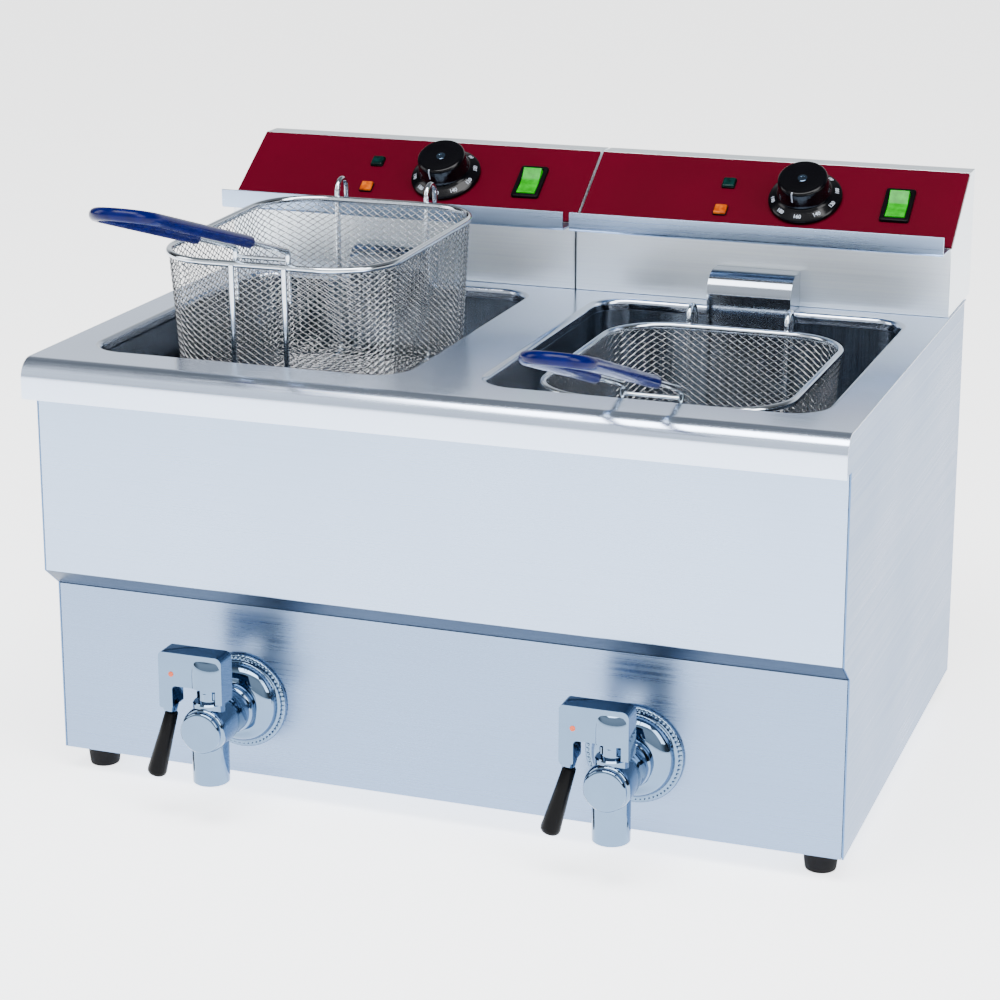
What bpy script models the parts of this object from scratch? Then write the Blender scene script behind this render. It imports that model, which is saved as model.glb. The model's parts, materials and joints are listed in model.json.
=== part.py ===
"""Twin-tank counter-top electric fryer with lift-out heads, wire baskets and drain taps.

Frame: +X to the right, -Y towards the person using it, +Z up, feet on Z = 0.
Lengths are in metres. Inside the model, Y = 0 is the front of the top plate's lip;
the whole model is then slid along Y so that the origin is under the middle of its box.
"""
import math

import bmesh
import bpy
from mathutils import Matrix, Vector

MM = 0.001
GAP = 0.3 * MM                    # air between pieces that touch on the real fryer
SHEET = 1.2 * MM                  # stainless sheet of the cabinet and the heads
SIDES = ("left", "right")

# Cabinet
CABINET_HALF = 289.0 * MM         # outer faces of the side panels
CABINET_REAR = 411.0 * MM
CABINET_BOTTOM = 18.0 * MM
PLATE_TOP = 317.4 * MM
PLATE_HALF = 290.0 * MM
LIP_RADIUS = 13.5 * MM
LIP_BOTTOM = 289.6 * MM
UPPER_FRONT = 18.4 * MM           # Y of the upper front panel
LOWER_FRONT = 36.7 * MM           # Y of the recessed lower front panel
STEP_TOP = 159.1 * MM             # the sloping band between the two front panels
STEP_BOTTOM = 144.5 * MM
STEP_RETURN = 6.0 * MM
BASE_Z = 19.0 * MM
BASE_FLANGE = 10.0 * MM
FOOT_X = 269.0 * MM
FOOT_FRONT_Y = 59.0 * MM
FOOT_REAR_Y = 389.0 * MM
FOOT_TOP_RADIUS = 12.6 * MM
FOOT_TIP_RADIUS = 10.6 * MM

# Tanks
UNIT_X = 145.0 * MM               # middle of each half of the fryer
OPENING_HALF_X = 120.5 * MM
OPENING_FRONT = 42.5 * MM
OPENING_REAR = 328.5 * MM
OPENING_RADIUS = 29.0 * MM
RIM_BEVEL = 4.0 * MM
RIM_COLLAR = 4.0 * MM
TANK_BOTTOM = 113.0 * MM
TANK_WALL = 1.0 * MM
TANK_FILLET = 16.0 * MM
DRAIN_Y = 96.0 * MM
DRAIN_RADIUS = 9.0 * MM

# Heads
HEAD_HALF = 144.2 * MM
HEAD_FRONT = 342.9 * MM
HEAD_REAR = 429.0 * MM
HEAD_TOP = 414.4 * MM
PANEL_FOOT_Z = 370.8 * MM
PANEL_ANGLE = math.radians(33.7)
PANEL_LENGTH = 78.6 * MM
PANEL_HALF = 143.7 * MM
PANEL_SHEET = 1.5 * MM
CROWN_DEPTH = 19.4 * MM           # flat top of the casing behind the panel
WINDOW_HALF = 130.0 * MM
WINDOW_MARGIN = 7.0 * MM
RAIL_FRONT = 318.2 * MM
RAIL_BOTTOM = 367.7 * MM
RAIL_TOP = 382.1 * MM
RAIL_HALF = 142.5 * MM
RAIL_SHEET = 1.5 * MM
GUARD_HALF = 32.0 * MM
GUARD_FRONT = 313.0 * MM
GUARD_BACK = 321.0 * MM
GUARD_TOP = 344.5 * MM
GUARD_FOOT = 192.0 * MM
GUARD_BEND = 17.0 * MM
GUARD_SHEET = 1.0 * MM
ELEMENT_RADIUS = 3.2 * MM
ELEMENT_LANES = (18.0 * MM, 54.0 * MM, 90.0 * MM)
ELEMENT_LANE_FRONT = 92.0 * MM
ELEMENT_LANE_REAR = 268.0 * MM
ELEMENT_CROSS_Y = 64.0 * MM
ELEMENT_ENTRY = 14.0 * MM         # height above the plate where it leaves the casing
ELEMENT_BEND = 9.0 * MM
ELEMENT_CORNER = 14.0 * MM
GLAND_X = 100.0 * MM
GLAND_Z = 345.0 * MM
GLAND_BORE = 4.0 * MM
GLAND_RADIUS = 8.0 * MM

# Controls, placed on the panel by X and by distance up its slope
KNOB_X = 26.5 * MM
KNOB_S = 39.5 * MM
KNOB_RADIUS = 19.5 * MM
SKIRT_RADIUS = 28.0 * MM
KNOB_HEIGHT = 23.0 * MM
SHAFT_RADIUS = 3.0 * MM
LAMP_X = -35.5 * MM
POWER_LAMP_S = 51.0 * MM
HEATING_LAMP_S = 21.5 * MM
LAMP_HALF = 5.3 * MM
LAMP_STEM_HALF = 4.5 * MM
SWITCH_X = 97.0 * MM
SWITCH_S = 38.0 * MM
BEZEL_HALF_X = 11.2 * MM
BEZEL_HALF_S = 17.2 * MM
HOUSING_HALF_X = 8.9 * MM
HOUSING_HALF_S = 14.6 * MM
POCKET_HALF_X = 7.8 * MM
POCKET_HALF_S = 13.7 * MM
POCKET_DEPTH = 9.0 * MM
ROCKER_TILT = math.radians(7.0)

# Baskets, built from the tips of their two hooks
BASKET_WIDTH = 174.0 * MM         # across the middle of the mesh wall
BASKET_DEPTH = 221.0 * MM
BASKET_HEIGHT = 120.0 * MM
BASKET_CORNER = 46.0 * MM
BASKET_TAPER = 7.0 * MM
BASKET_FILLET = 14.0 * MM
MESH_WALL = 1.0 * MM
RIM_WIRE = 2.5 * MM
FRAME_WIRE = 2.0 * MM
RIM_ABOVE_TIPS = 14.5 * MM
HOOK_ARCH = 9.0 * MM
HOOK_SPRING = 19.5 * MM
HOOK_X = 37.0 * MM
BAR_X = 20.0 * MM
LEFT_TILT = math.radians(1.5)     # the hanging basket's front hangs a little low
LEFT_TIPS = (323.3 * MM, RAIL_BOTTOM + RAIL_SHEET + GAP)
RIGHT_TIPS = (300.3 * MM, 296.0 * MM)

# Basket handles
HANDLE_ANGLE = math.radians(18.0)
HANDLE_RISE = 11.0 * MM
HANDLE_LENGTH = 226.0 * MM
HANDLE_FOOT = 26.0 * MM           # how far the wires reach down below the rim
CROSS_WIRE = 1.5 * MM
BARE_LENGTH = 62.0 * MM
GRIP_RADIUS = 4.3 * MM

# Drain taps, built from the middle of the wall flange, forward along -Y
TAP_Z = 73.8 * MM
TAIL_RADIUS = 10.5 * MM
TAIL_LENGTH = 24.0 * MM
TAIL_HOLE = 11.2 * MM
FLANGE_RADIUS = 34.5 * MM
FLANGE_DEPTH = 15.0 * MM
BARREL_RADIUS = 16.5 * MM
COLLAR_RADIUS = 17.5 * MM
BARREL_LENGTH = 65.5 * MM
CAP_RADIUS = 14.8 * MM
SPOUT_RADIUS = 12.9 * MM
SPOUT_OUT = 52.5 * MM
SPOUT_DROP = 40.5 * MM
SPOUT_BORE = 10.5 * MM
BONNET_RADIUS = 8.0 * MM
LEVER_BOTTOM = 29.0 * MM
LEVER_TOP = 53.0 * MM
LEVER_DEPTH = 17.0 * MM
LEVER_FERRULE = 8.0 * MM          # lower end of the lever's bent-down part
SKIRT_BOTTOM = 19.0 * MM          # the lever's skirt stands beside the bonnet
SKIRT_X = 8.6 * MM
LEVER_FRONT_X = 14.0 * MM
LEVER_END_X = -34.0 * MM
LEVER_NECK_X = -24.0 * MM
LEVER_GRIP_X = -29.0 * MM
GRIP_LEAN = math.radians(16.0)
GRIP_SEAT = 1.5 * MM              # clears the leaning grip's upper edge
NUT_RADIUS = 17.2 * MM
NUT_DEPTH = 8.0 * MM
ELBOW_RADIUS = 12.0 * MM
ELBOW_BEND = 20.0 * MM


# ---------------------------------------------------------------- scene tools

def clear_scene():
    """Remove every object that is in the scene at the start."""
    for item in list(bpy.data.objects):
        bpy.data.objects.remove(item, do_unlink=True)


def finish(name, colour, roughness, metallic):
    """Return a Principled material."""
    material = bpy.data.materials.new(name)
    material.use_nodes = True
    shader = material.node_tree.nodes["Principled BSDF"]
    shader.inputs["Base Color"].default_value = (*colour, 1.0)
    shader.inputs["Roughness"].default_value = roughness
    shader.inputs["Metallic"].default_value = metallic
    material.diffuse_color = (*colour, 1.0)
    return material


def make_finishes():
    """Return the finishes by name."""
    return {
        "steel": finish("brushed_steel", (0.62, 0.65, 0.69), 0.32, 1.0),
        "bright": finish("bright_steel", (0.78, 0.80, 0.83), 0.12, 1.0),
        "chrome": finish("chrome", (0.86, 0.88, 0.90), 0.06, 1.0),
        "crimson": finish("crimson_panel", (0.25, 0.0, 0.03), 0.35, 0.0),
        "black": finish("black_plastic", (0.02, 0.02, 0.02), 0.35, 0.0),
        "rubber": finish("black_rubber", (0.03, 0.03, 0.03), 0.8, 0.0),
        "blue": finish("navy_vinyl", (0.01, 0.02, 0.25), 0.25, 0.0),
        "green": finish("green_lens", (0.05, 0.8, 0.1), 0.2, 0.0),
        "lamp_green": finish("dark_green_lens", (0.0, 0.12, 0.1), 0.2, 0.0),
        "lamp_orange": finish("orange_lens", (0.75, 0.22, 0.01), 0.2, 0.0),
        "brass": finish("brass", (0.75, 0.6, 0.3), 0.3, 1.0),
        "element": finish("heating_tube", (0.35, 0.34, 0.34), 0.4, 1.0),
    }


def empty(name, parent, location, rotation_x=0.0):
    """Return an empty that carries a group of pieces."""
    holder = bpy.data.objects.new(name, None)
    bpy.context.scene.collection.objects.link(holder)
    holder.parent = parent
    holder.location = location
    holder.rotation_euler = (rotation_x, 0.0, 0.0)
    return holder


def piece(name, mesh_build, material, parent, location=(0.0, 0.0, 0.0), rotation_x=0.0):
    """Make one named object from a bmesh and put it under its parent."""
    bmesh.ops.recalc_face_normals(mesh_build, faces=mesh_build.faces)
    mesh = bpy.data.meshes.new(name)
    mesh_build.to_mesh(mesh)
    mesh_build.free()
    mesh.materials.append(material)
    mesh.shade_smooth()
    mesh.set_sharp_from_angle(angle=math.radians(32.0))
    item = bpy.data.objects.new(name, mesh)
    bpy.context.scene.collection.objects.link(item)
    item.parent = parent
    item.location = location
    item.rotation_euler = (rotation_x, 0.0, 0.0)
    return item


def tool(target, name, mesh_build, operation):
    """Cut a shape out of a piece, or weld one onto it, with a hidden tool."""
    shape = piece(name, mesh_build, target.data.materials[0], target)
    shape.hide_render = True
    shape.display_type = "WIRE"
    modifier = target.modifiers.new(name, "BOOLEAN")
    modifier.object = shape
    modifier.operation = operation
    modifier.solver = "EXACT"


def thicken(item, thickness, offset):
    """Give a sheet its thickness: offset -1 goes behind its faces, +1 in front."""
    modifier = item.modifiers.new("sheet", "SOLIDIFY")
    modifier.thickness = thickness
    modifier.offset = offset
    modifier.use_even_offset = True


# ---------------------------------------------------------------- shape tools

def arc(centre, radius, start_deg, end_deg, steps):
    """Return points on an arc in a plane, both ends included."""
    points = []
    for step in range(steps + 1):
        angle = math.radians(start_deg + (end_deg - start_deg) * step / steps)
        points.append((centre[0] + radius * math.cos(angle),
                       centre[1] + radius * math.sin(angle)))
    return points


def rounded_outline(half_x, low_y, high_y, radius, steps=6):
    """Return a rectangle with round corners, anticlockwise, as (x, y) points."""
    outline = []
    corners = ((half_x - radius, low_y + radius, -90.0),
               (half_x - radius, high_y - radius, 0.0),
               (-half_x + radius, high_y - radius, 90.0),
               (-half_x + radius, low_y + radius, 180.0))
    for x, y, start in corners:
        outline += arc((x, y), radius, start, start + 90.0, steps)
    return outline


def circle(radius, count, centre=(0.0, 0.0)):
    """Return points round a circle, anticlockwise."""
    turns = (2.0 * math.pi * step / count for step in range(count))
    return [(centre[0] + radius * math.cos(a), centre[1] + radius * math.sin(a))
            for a in turns]


def band(line, thickness):
    """Return the closed outline of a sheet that follows a line, laid on its left."""
    count = len(line)
    inner = []
    for index in range(count):
        before = Vector(line[max(index - 1, 0)])
        here = Vector(line[index])
        after = Vector(line[min(index + 1, count - 1)])
        ways = [way.normalized() for way in (here - before, after - here) if way.length > 0.0]
        normals = [Vector((-way.y, way.x)) for way in ways]
        middle = sum(normals, Vector((0.0, 0.0))).normalized()
        inner.append(tuple(here + middle * (thickness / middle.dot(normals[0]))))
    return list(line) + inner[::-1]


def placed(axis, a, b, along):
    """Place an outline point on the plane across an axis."""
    if axis == "X":
        return (along, a, b)
    if axis == "Y":
        return (a, along, b)
    return (a, b, along)


def prism(outline, axis, low, high):
    """Return a closed prism of an outline, drawn out along an axis."""
    build = bmesh.new()
    near = [build.verts.new(placed(axis, a, b, low)) for a, b in outline]
    far = [build.verts.new(placed(axis, a, b, high)) for a, b in outline]
    build.faces.new(near)
    build.faces.new(far)
    for index in range(len(outline)):
        after = (index + 1) % len(outline)
        build.faces.new((near[index], near[after], far[after], far[index]))
    return build


def block(low, high):
    """Return a box between two corners."""
    outline = ((low[0], low[1]), (high[0], low[1]), (high[0], high[1]), (low[0], high[1]))
    return prism(outline, "Z", low[2], high[2])


def soften(build, width):
    """Bevel the edges of a block a little."""
    bmesh.ops.bevel(build, geom=build.edges[:], offset=width, segments=1, affect="EDGES")
    return build


def ring_faces(build, first, second):
    """Join two rings of vertices with faces."""
    for index in range(len(first)):
        after = (index + 1) % len(first)
        build.faces.new((first[index], first[after], second[after], second[index]))


def turned(profile, count, closed=False):
    """Return a shape turned about Z from (radius, height) points."""
    build = bmesh.new()
    rings = []
    for radius, height in profile:
        if radius == 0.0:
            rings.append([build.verts.new((0.0, 0.0, height))])
        else:
            rings.append([build.verts.new((x, y, height)) for x, y in circle(radius, count)])
    pairs = list(zip(rings, rings[1:]))
    if closed:
        pairs.append((rings[-1], rings[0]))
    for first, second in pairs:
        if len(first) == 1 or len(second) == 1:
            pole, ring = (first, second) if len(first) == 1 else (second, first)
            for index in range(count):
                build.faces.new((pole[0], ring[index], ring[(index + 1) % count]))
        else:
            ring_faces(build, first, second)
    return build


def turned_forward(profile, count, closed=False):
    """Return a shape turned about an axis that points towards the front, -Y."""
    build = turned(profile, count, closed)
    bmesh.ops.transform(build, matrix=Matrix.Rotation(math.radians(90.0), 4, "X"),
                        verts=build.verts)
    return build


def tube(path, radius, count=8, closed=False):
    """Return a round wire along a path of points."""
    points = [Vector(point) for point in path]
    total = len(points)
    build = bmesh.new()
    side = None
    rings = []
    for index, here in enumerate(points):
        before = points[index - 1] if closed or index else here
        after = points[(index + 1) % total] if closed or index < total - 1 else here
        along = (after - before).normalized()
        if side is None:
            side = along.orthogonal().normalized()
        side = (side - along * side.dot(along)).normalized()
        other = along.cross(side)
        rings.append([build.verts.new(here + side * x + other * y)
                      for x, y in circle(radius, count)])
    for first, second in zip(rings, rings[1:]):
        ring_faces(build, first, second)
    if closed:
        ring_faces(build, rings[-1], rings[0])
    else:
        build.faces.new(rings[0])
        build.faces.new(rings[-1])
    return build


def round_corners(corners, radius, steps=4):
    """Return a path through corners, with each inner corner bent to a radius."""
    points = [Vector(corner) for corner in corners]
    path = [points[0]]
    for before, here, after in zip(points, points[1:], points[2:]):
        back = (before - here).normalized()
        ahead = (after - here).normalized()
        half = back.angle(ahead) / 2.0
        reach = radius / math.tan(half)
        centre = here + (back + ahead).normalized() * (radius / math.sin(half))
        start = here + back * reach - centre
        end = here + ahead * reach - centre
        for step in range(steps + 1):
            spoke = start.normalized().slerp(end.normalized(), step / steps)
            path.append(centre + spoke * radius)
    path.append(points[-1])
    return path


def sheet_with_holes(outer, holes, height):
    """Return a flat open sheet at a height, its hole rings, and its outer ring."""
    build = bmesh.new()
    rings = []
    for outline in (outer, *holes):
        ring = [build.verts.new((x, y, height)) for x, y in outline]
        for index in range(len(ring)):
            build.edges.new((ring[index], ring[(index + 1) % len(ring)]))
        rings.append(ring)
    bmesh.ops.triangle_fill(build, use_beauty=True, use_dissolve=False, edges=build.edges[:])
    if build.faces[:] and build.faces[:][0].normal.z < 0.0:
        bmesh.ops.reverse_faces(build, faces=build.faces[:])
    return build, rings[0], rings[1:]


# ---------------------------------------------------------------- cabinet

def lip_line():
    """Return the top plate's front lip in (y, z), from its underside up to the top."""
    bend = arc((LIP_RADIUS, PLATE_TOP - LIP_RADIUS), LIP_RADIUS, 180.0, 90.0, 6)
    return [(0.0, LIP_BOTTOM), *bend]


def make_top_plate(finishes, fryer):
    """Top plate with its round front lip and the bevelled rims of both openings."""
    outer = [(-PLATE_HALF, LIP_RADIUS), (PLATE_HALF, LIP_RADIUS),
             (PLATE_HALF, CABINET_REAR), (-PLATE_HALF, CABINET_REAR)]
    shape = rounded_outline(OPENING_HALF_X, OPENING_FRONT, OPENING_REAR, OPENING_RADIUS)
    holes = [[(x + centre, y) for x, y in shape] for centre in (-UNIT_X, UNIT_X)]
    build, edge, rims = sheet_with_holes(outer, holes, PLATE_TOP)
    left, right = edge[0], edge[1]
    for y, z in lip_line()[-2::-1]:
        lower_left = build.verts.new((-PLATE_HALF, y, z))
        lower_right = build.verts.new((PLATE_HALF, y, z))
        build.faces.new((left, lower_left, lower_right, right))
        left, right = lower_left, lower_right
    inner = rounded_outline(OPENING_HALF_X - RIM_BEVEL, OPENING_FRONT + RIM_BEVEL,
                            OPENING_REAR - RIM_BEVEL, OPENING_RADIUS - RIM_BEVEL)
    for rim, centre in zip(rims, (-UNIT_X, UNIT_X)):
        ring = rim
        for depth in (RIM_BEVEL, RIM_BEVEL + RIM_COLLAR):
            lower = [build.verts.new((x + centre, y, PLATE_TOP - depth)) for x, y in inner]
            for index in range(len(ring)):
                after = (index + 1) % len(ring)
                build.faces.new((ring[index], ring[after], lower[after], lower[index]))
            ring = lower
    plate = piece("top_plate", build, finishes["steel"], fryer)
    thicken(plate, SHEET, -1.0 if top_faces_up(plate.data) else 1.0)


def top_faces_up(mesh):
    """Say whether a mesh's largest face looks up."""
    largest = max(mesh.polygons, key=lambda face: face.area)
    return largest.normal.z > 0.0


def make_side_panels(finishes, fryer):
    """Side panels, whose front edge follows the lip, the step and the lower panel."""
    inset = SHEET + GAP
    lip = arc((LIP_RADIUS, PLATE_TOP - LIP_RADIUS), LIP_RADIUS - inset, 180.0, 90.0, 6)
    rear = CABINET_REAR - SHEET - GAP
    outline = [(LOWER_FRONT, CABINET_BOTTOM), (LOWER_FRONT, STEP_BOTTOM),
               (UPPER_FRONT, STEP_TOP), (UPPER_FRONT, LIP_BOTTOM), (inset, LIP_BOTTOM),
               *lip, (rear, PLATE_TOP - inset), (rear, CABINET_BOTTOM)]
    inner = CABINET_HALF - SHEET
    for name, low, high in (("left", -CABINET_HALF, -inner), ("right", inner, CABINET_HALF)):
        piece("side_panel_" + name, prism(outline, "X", low, high), finishes["steel"], fryer)


def make_front_panels(finishes, fryer):
    """Upper front panel with its sloping foot, and the recessed lower panel."""
    reach = CABINET_HALF - SHEET - GAP
    line = [(UPPER_FRONT, PLATE_TOP - SHEET - GAP), (UPPER_FRONT, STEP_TOP),
            (LOWER_FRONT, STEP_BOTTOM), (LOWER_FRONT + STEP_RETURN, STEP_BOTTOM)]
    piece("front_panel_upper", prism(band(line, SHEET), "X", -reach, reach),
          finishes["steel"], fryer)
    top = STEP_BOTTOM - GAP
    lower = prism([(-reach, CABINET_BOTTOM), (reach, CABINET_BOTTOM), (reach, top),
                   (-reach, top)], "Y", LOWER_FRONT, LOWER_FRONT + SHEET)
    panel = piece("front_panel_lower", lower, finishes["steel"], fryer)
    for side, x in zip(SIDES, (-UNIT_X, UNIT_X)):
        hole = prism(circle(TAIL_HOLE, 24, (x, TAP_Z)), "Y",
                     LOWER_FRONT - SHEET, LOWER_FRONT + 2.0 * SHEET)
        tool(panel, "tail_hole_" + side, hole, "DIFFERENCE")


def make_rear_and_base(finishes, fryer):
    """Rear panel, and the base tray with its upturned edges."""
    reach = CABINET_HALF
    piece("rear_panel",
          block((-reach, CABINET_REAR - SHEET, CABINET_BOTTOM),
                (reach, CABINET_REAR, PLATE_TOP - SHEET - GAP)), finishes["steel"], fryer)
    edge = SHEET + GAP
    front = LOWER_FRONT + edge
    rear = CABINET_REAR - edge
    side = CABINET_HALF - edge
    tray = block((-side, front, BASE_Z), (side, rear, BASE_Z + BASE_FLANGE))
    base = piece("base_plate", tray, finishes["steel"], fryer)
    hollow = block((-side + SHEET, front + SHEET, BASE_Z + SHEET),
                   (side - SHEET, rear - SHEET, BASE_Z + 2.0 * BASE_FLANGE))
    tool(base, "base_hollow", hollow, "DIFFERENCE")


def make_feet(finishes, fryer):
    """Four tapered rubber feet."""
    top = BASE_Z - GAP
    profile = [(0.0, 0.0), (FOOT_TIP_RADIUS - MM, 0.0), (FOOT_TIP_RADIUS, MM),
               (FOOT_TOP_RADIUS, top), (0.0, top)]
    for row, y in (("front", FOOT_FRONT_Y), ("rear", FOOT_REAR_Y)):
        for side, x in zip(SIDES, (-FOOT_X, FOOT_X)):
            piece("foot_" + row + "_" + side, turned(profile, 24), finishes["rubber"],
                  fryer, (x, y, 0.0))


def make_tank(finishes, unit, side):
    """Deep-drawn oil tank with round corners and a drain hole in its floor."""
    inset = RIM_BEVEL
    top = PLATE_TOP - RIM_BEVEL - RIM_COLLAR - GAP
    drop = TANK_FILLET * (1.0 - math.sqrt(0.5))

    def ring_points(shrink):
        return rounded_outline(OPENING_HALF_X - inset - shrink, OPENING_FRONT + inset + shrink,
                               OPENING_REAR - inset - shrink,
                               OPENING_RADIUS - inset - shrink)

    floor = ring_points(TANK_FILLET)
    build, ring, _ = sheet_with_holes(floor, [circle(DRAIN_RADIUS, 20, (0.0, DRAIN_Y))],
                                      TANK_BOTTOM)
    levels = ((drop, TANK_BOTTOM + drop), (0.0, TANK_BOTTOM + TANK_FILLET), (0.0, top))
    for shrink, height in levels:
        upper = [build.verts.new((x, y, height)) for x, y in ring_points(shrink)]
        for index in range(len(ring)):
            after = (index + 1) % len(ring)
            build.faces.new((ring[index], ring[after], upper[after], upper[index]))
        ring = upper
    tank = piece("tank_" + side, build, finishes["bright"], unit)
    thicken(tank, TANK_WALL, -1.0 if top_faces_up(tank.data) else 1.0)


# ---------------------------------------------------------------- drain taps

def make_tap(finishes, unit, side):
    """Drain tap: wall flange, valve body with spout, cap, lever, grip, nut and elbow."""
    tap = empty("tap_" + side, unit, (0.0, LOWER_FRONT, TAP_Z))
    flange = [(TAIL_HOLE, GAP), (FLANGE_RADIUS, GAP), (FLANGE_RADIUS, 3.0 * MM),
              (FLANGE_RADIUS - 1.5 * MM, 4.5 * MM), (FLANGE_RADIUS - 3.5 * MM, 5.0 * MM),
              (23.0 * MM, 9.5 * MM), (17.5 * MM, 13.0 * MM), (14.0 * MM, FLANGE_DEPTH),
              (TAIL_HOLE, FLANGE_DEPTH)]
    piece("tap_flange_" + side, turned_forward(flange, 28, closed=True),
          finishes["chrome"], tap)
    collar = FLANGE_DEPTH + GAP
    barrel = [(0.0, -TAIL_LENGTH), (TAIL_RADIUS, -TAIL_LENGTH), (TAIL_RADIUS, collar),
              (COLLAR_RADIUS, collar), (COLLAR_RADIUS, 21.0 * MM), (16.0 * MM, 25.0 * MM),
              (15.4 * MM, 34.0 * MM), (BARREL_RADIUS, 42.0 * MM),
              (BARREL_RADIUS, 62.0 * MM), (CAP_RADIUS, BARREL_LENGTH), (0.0, BARREL_LENGTH)]
    body = piece("tap_body_" + side, turned_forward(barrel, 24), finishes["chrome"], tap)
    spout = turned([(0.0, -SPOUT_DROP), (SPOUT_RADIUS, -SPOUT_DROP),
                    (SPOUT_RADIUS, 0.0), (BONNET_RADIUS, 2.0 * MM),
                    (BONNET_RADIUS, LEVER_BOTTOM - GAP), (0.0, LEVER_BOTTOM - GAP)], 24)
    mouth = turned([(0.0, -SPOUT_DROP - 5.0 * MM), (SPOUT_BORE, -SPOUT_DROP - 5.0 * MM),
                    (SPOUT_BORE, -15.0 * MM), (0.0, -15.0 * MM)], 20)
    out = Matrix.Translation((0.0, -SPOUT_OUT, 0.0))
    bmesh.ops.transform(spout, matrix=out, verts=spout.verts)
    bmesh.ops.transform(mouth, matrix=out, verts=mouth.verts)
    tool(body, "spout_" + side, spout, "UNION")
    tool(body, "mouth_" + side, mouth, "DIFFERENCE")
    face = BARREL_LENGTH + GAP
    cap = [(0.0, face), (CAP_RADIUS, face), (CAP_RADIUS, face + 2.6 * MM),
           (CAP_RADIUS - 1.6 * MM, face + 4.0 * MM), (0.0, face + 4.0 * MM)]
    piece("tap_cap_" + side, turned_forward(cap, 24), finishes["chrome"], tap)
    make_tap_lever(finishes, tap, side)
    nut = prism(circle(NUT_RADIUS, 6), "Y", SHEET + GAP, SHEET + NUT_DEPTH)
    locknut = piece("tap_locknut_" + side, nut, finishes["brass"], tap)
    tool(locknut, "nut_bore_" + side,
         prism(circle(TAIL_HOLE, 20), "Y", 0.0, 2.0 * NUT_DEPTH), "DIFFERENCE")
    make_drain_elbow(finishes, tap, side)


def make_tap_lever(finishes, tap, side):
    """Lever block with its bent-down end, and the black grip; both turn on the stem."""
    lever_foot = (0.0, -SPOUT_OUT, 0.0)
    small, large = 3.0 * MM, 5.0 * MM
    outline = [(SKIRT_X, LEVER_BOTTOM), (SKIRT_X, SKIRT_BOTTOM),
               (LEVER_FRONT_X, SKIRT_BOTTOM), (LEVER_FRONT_X, LEVER_TOP - small),
               (LEVER_FRONT_X - small, LEVER_TOP), (LEVER_END_X + large, LEVER_TOP),
               (LEVER_END_X, LEVER_TOP - large), (LEVER_END_X, LEVER_FERRULE),
               (LEVER_NECK_X, LEVER_FERRULE), (LEVER_NECK_X, LEVER_BOTTOM)]
    half = LEVER_DEPTH / 2.0
    piece("tap_lever_" + side, prism(outline, "Y", -half, half), finishes["chrome"], tap,
          lever_foot)
    grip = [(0.0, 0.0), (4.2 * MM, 0.0), (6.6 * MM, 41.0 * MM), (6.9 * MM, 47.0 * MM),
            (5.4 * MM, 50.0 * MM), (0.0, 50.0 * MM)]
    build = turned(grip, 16)
    lean = Matrix.Rotation(math.pi + GRIP_LEAN, 4, "Y")
    drop = Matrix.Translation((LEVER_GRIP_X, 0.0, LEVER_FERRULE - GRIP_SEAT))
    bmesh.ops.transform(build, matrix=drop @ lean, verts=build.verts)
    piece("tap_grip_" + side, build, finishes["black"], tap, lever_foot)


def make_drain_elbow(finishes, tap, side):
    """Pipe from the hole in the tank's floor down and forward to the tap's tail."""
    start = TAIL_LENGTH + GAP
    end_y = DRAIN_Y - LOWER_FRONT
    top = TANK_BOTTOM - TANK_WALL - GAP - TAP_Z
    corners = [(0.0, start, 0.0), (0.0, end_y, 0.0), (0.0, end_y, top)]
    path = round_corners(corners, ELBOW_BEND, 5)
    elbow = piece("drain_elbow_" + side, tube(path, ELBOW_RADIUS, 16), finishes["steel"], tap)
    before = Vector((0.0, start - 5.0 * MM, 0.0))
    after = Vector((0.0, end_y, top + 5.0 * MM))
    bore = tube([before, *path, after], DRAIN_RADIUS, 16)
    tool(elbow, "elbow_bore_" + side, bore, "DIFFERENCE")


# ---------------------------------------------------------------- heads

def panel_point(s, n):
    """Return (y, z) of a point at s up the control panel and n out from its face."""
    cos, sin = math.cos(PANEL_ANGLE), math.sin(PANEL_ANGLE)
    return (HEAD_FRONT + s * cos - n * sin, PANEL_FOOT_Z + s * sin + n * cos)


def make_casing(finishes, unit, side, slope):
    """Head casing: a sheet box whose sloping front is open behind the control panel."""
    bottom = PLATE_TOP + GAP
    seat = -(PANEL_SHEET + GAP)
    step_y = HEAD_REAR - CROWN_DEPTH

    def outline(inset):
        low = panel_point(0.0, seat - inset)
        climb = math.tan(PANEL_ANGLE)
        front = HEAD_FRONT + inset
        back = step_y + inset
        return [(front, bottom + inset), (front, low[1] + (front - low[0]) * climb),
                (back, low[1] + (back - low[0]) * climb), (back, HEAD_TOP - inset),
                (HEAD_REAR - inset, HEAD_TOP - inset), (HEAD_REAR - inset, bottom + inset)]

    casing = piece("head_casing_" + side, prism(outline(0.0), "X", -HEAD_HALF, HEAD_HALF),
                   finishes["steel"], unit)
    inner = HEAD_HALF - SHEET
    tool(casing, "casing_hollow_" + side, prism(outline(SHEET), "X", -inner, inner),
         "DIFFERENCE")
    window = block((-WINDOW_HALF, WINDOW_MARGIN, -8.0 * MM),
                   (WINDOW_HALF, PANEL_LENGTH - WINDOW_MARGIN, 4.0 * MM))
    turn = Matrix.Translation((0.0, HEAD_FRONT, PANEL_FOOT_Z)) @ slope
    bmesh.ops.transform(window, matrix=turn, verts=window.verts)
    tool(casing, "window_" + side, window, "DIFFERENCE")
    hole = prism(circle(GLAND_RADIUS + GAP, 20, (GLAND_X, GLAND_Z)), "Y",
                 HEAD_REAR - 4.0 * MM, HEAD_REAR + 4.0 * MM)
    tool(casing, "gland_hole_" + side, hole, "DIFFERENCE")


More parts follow.
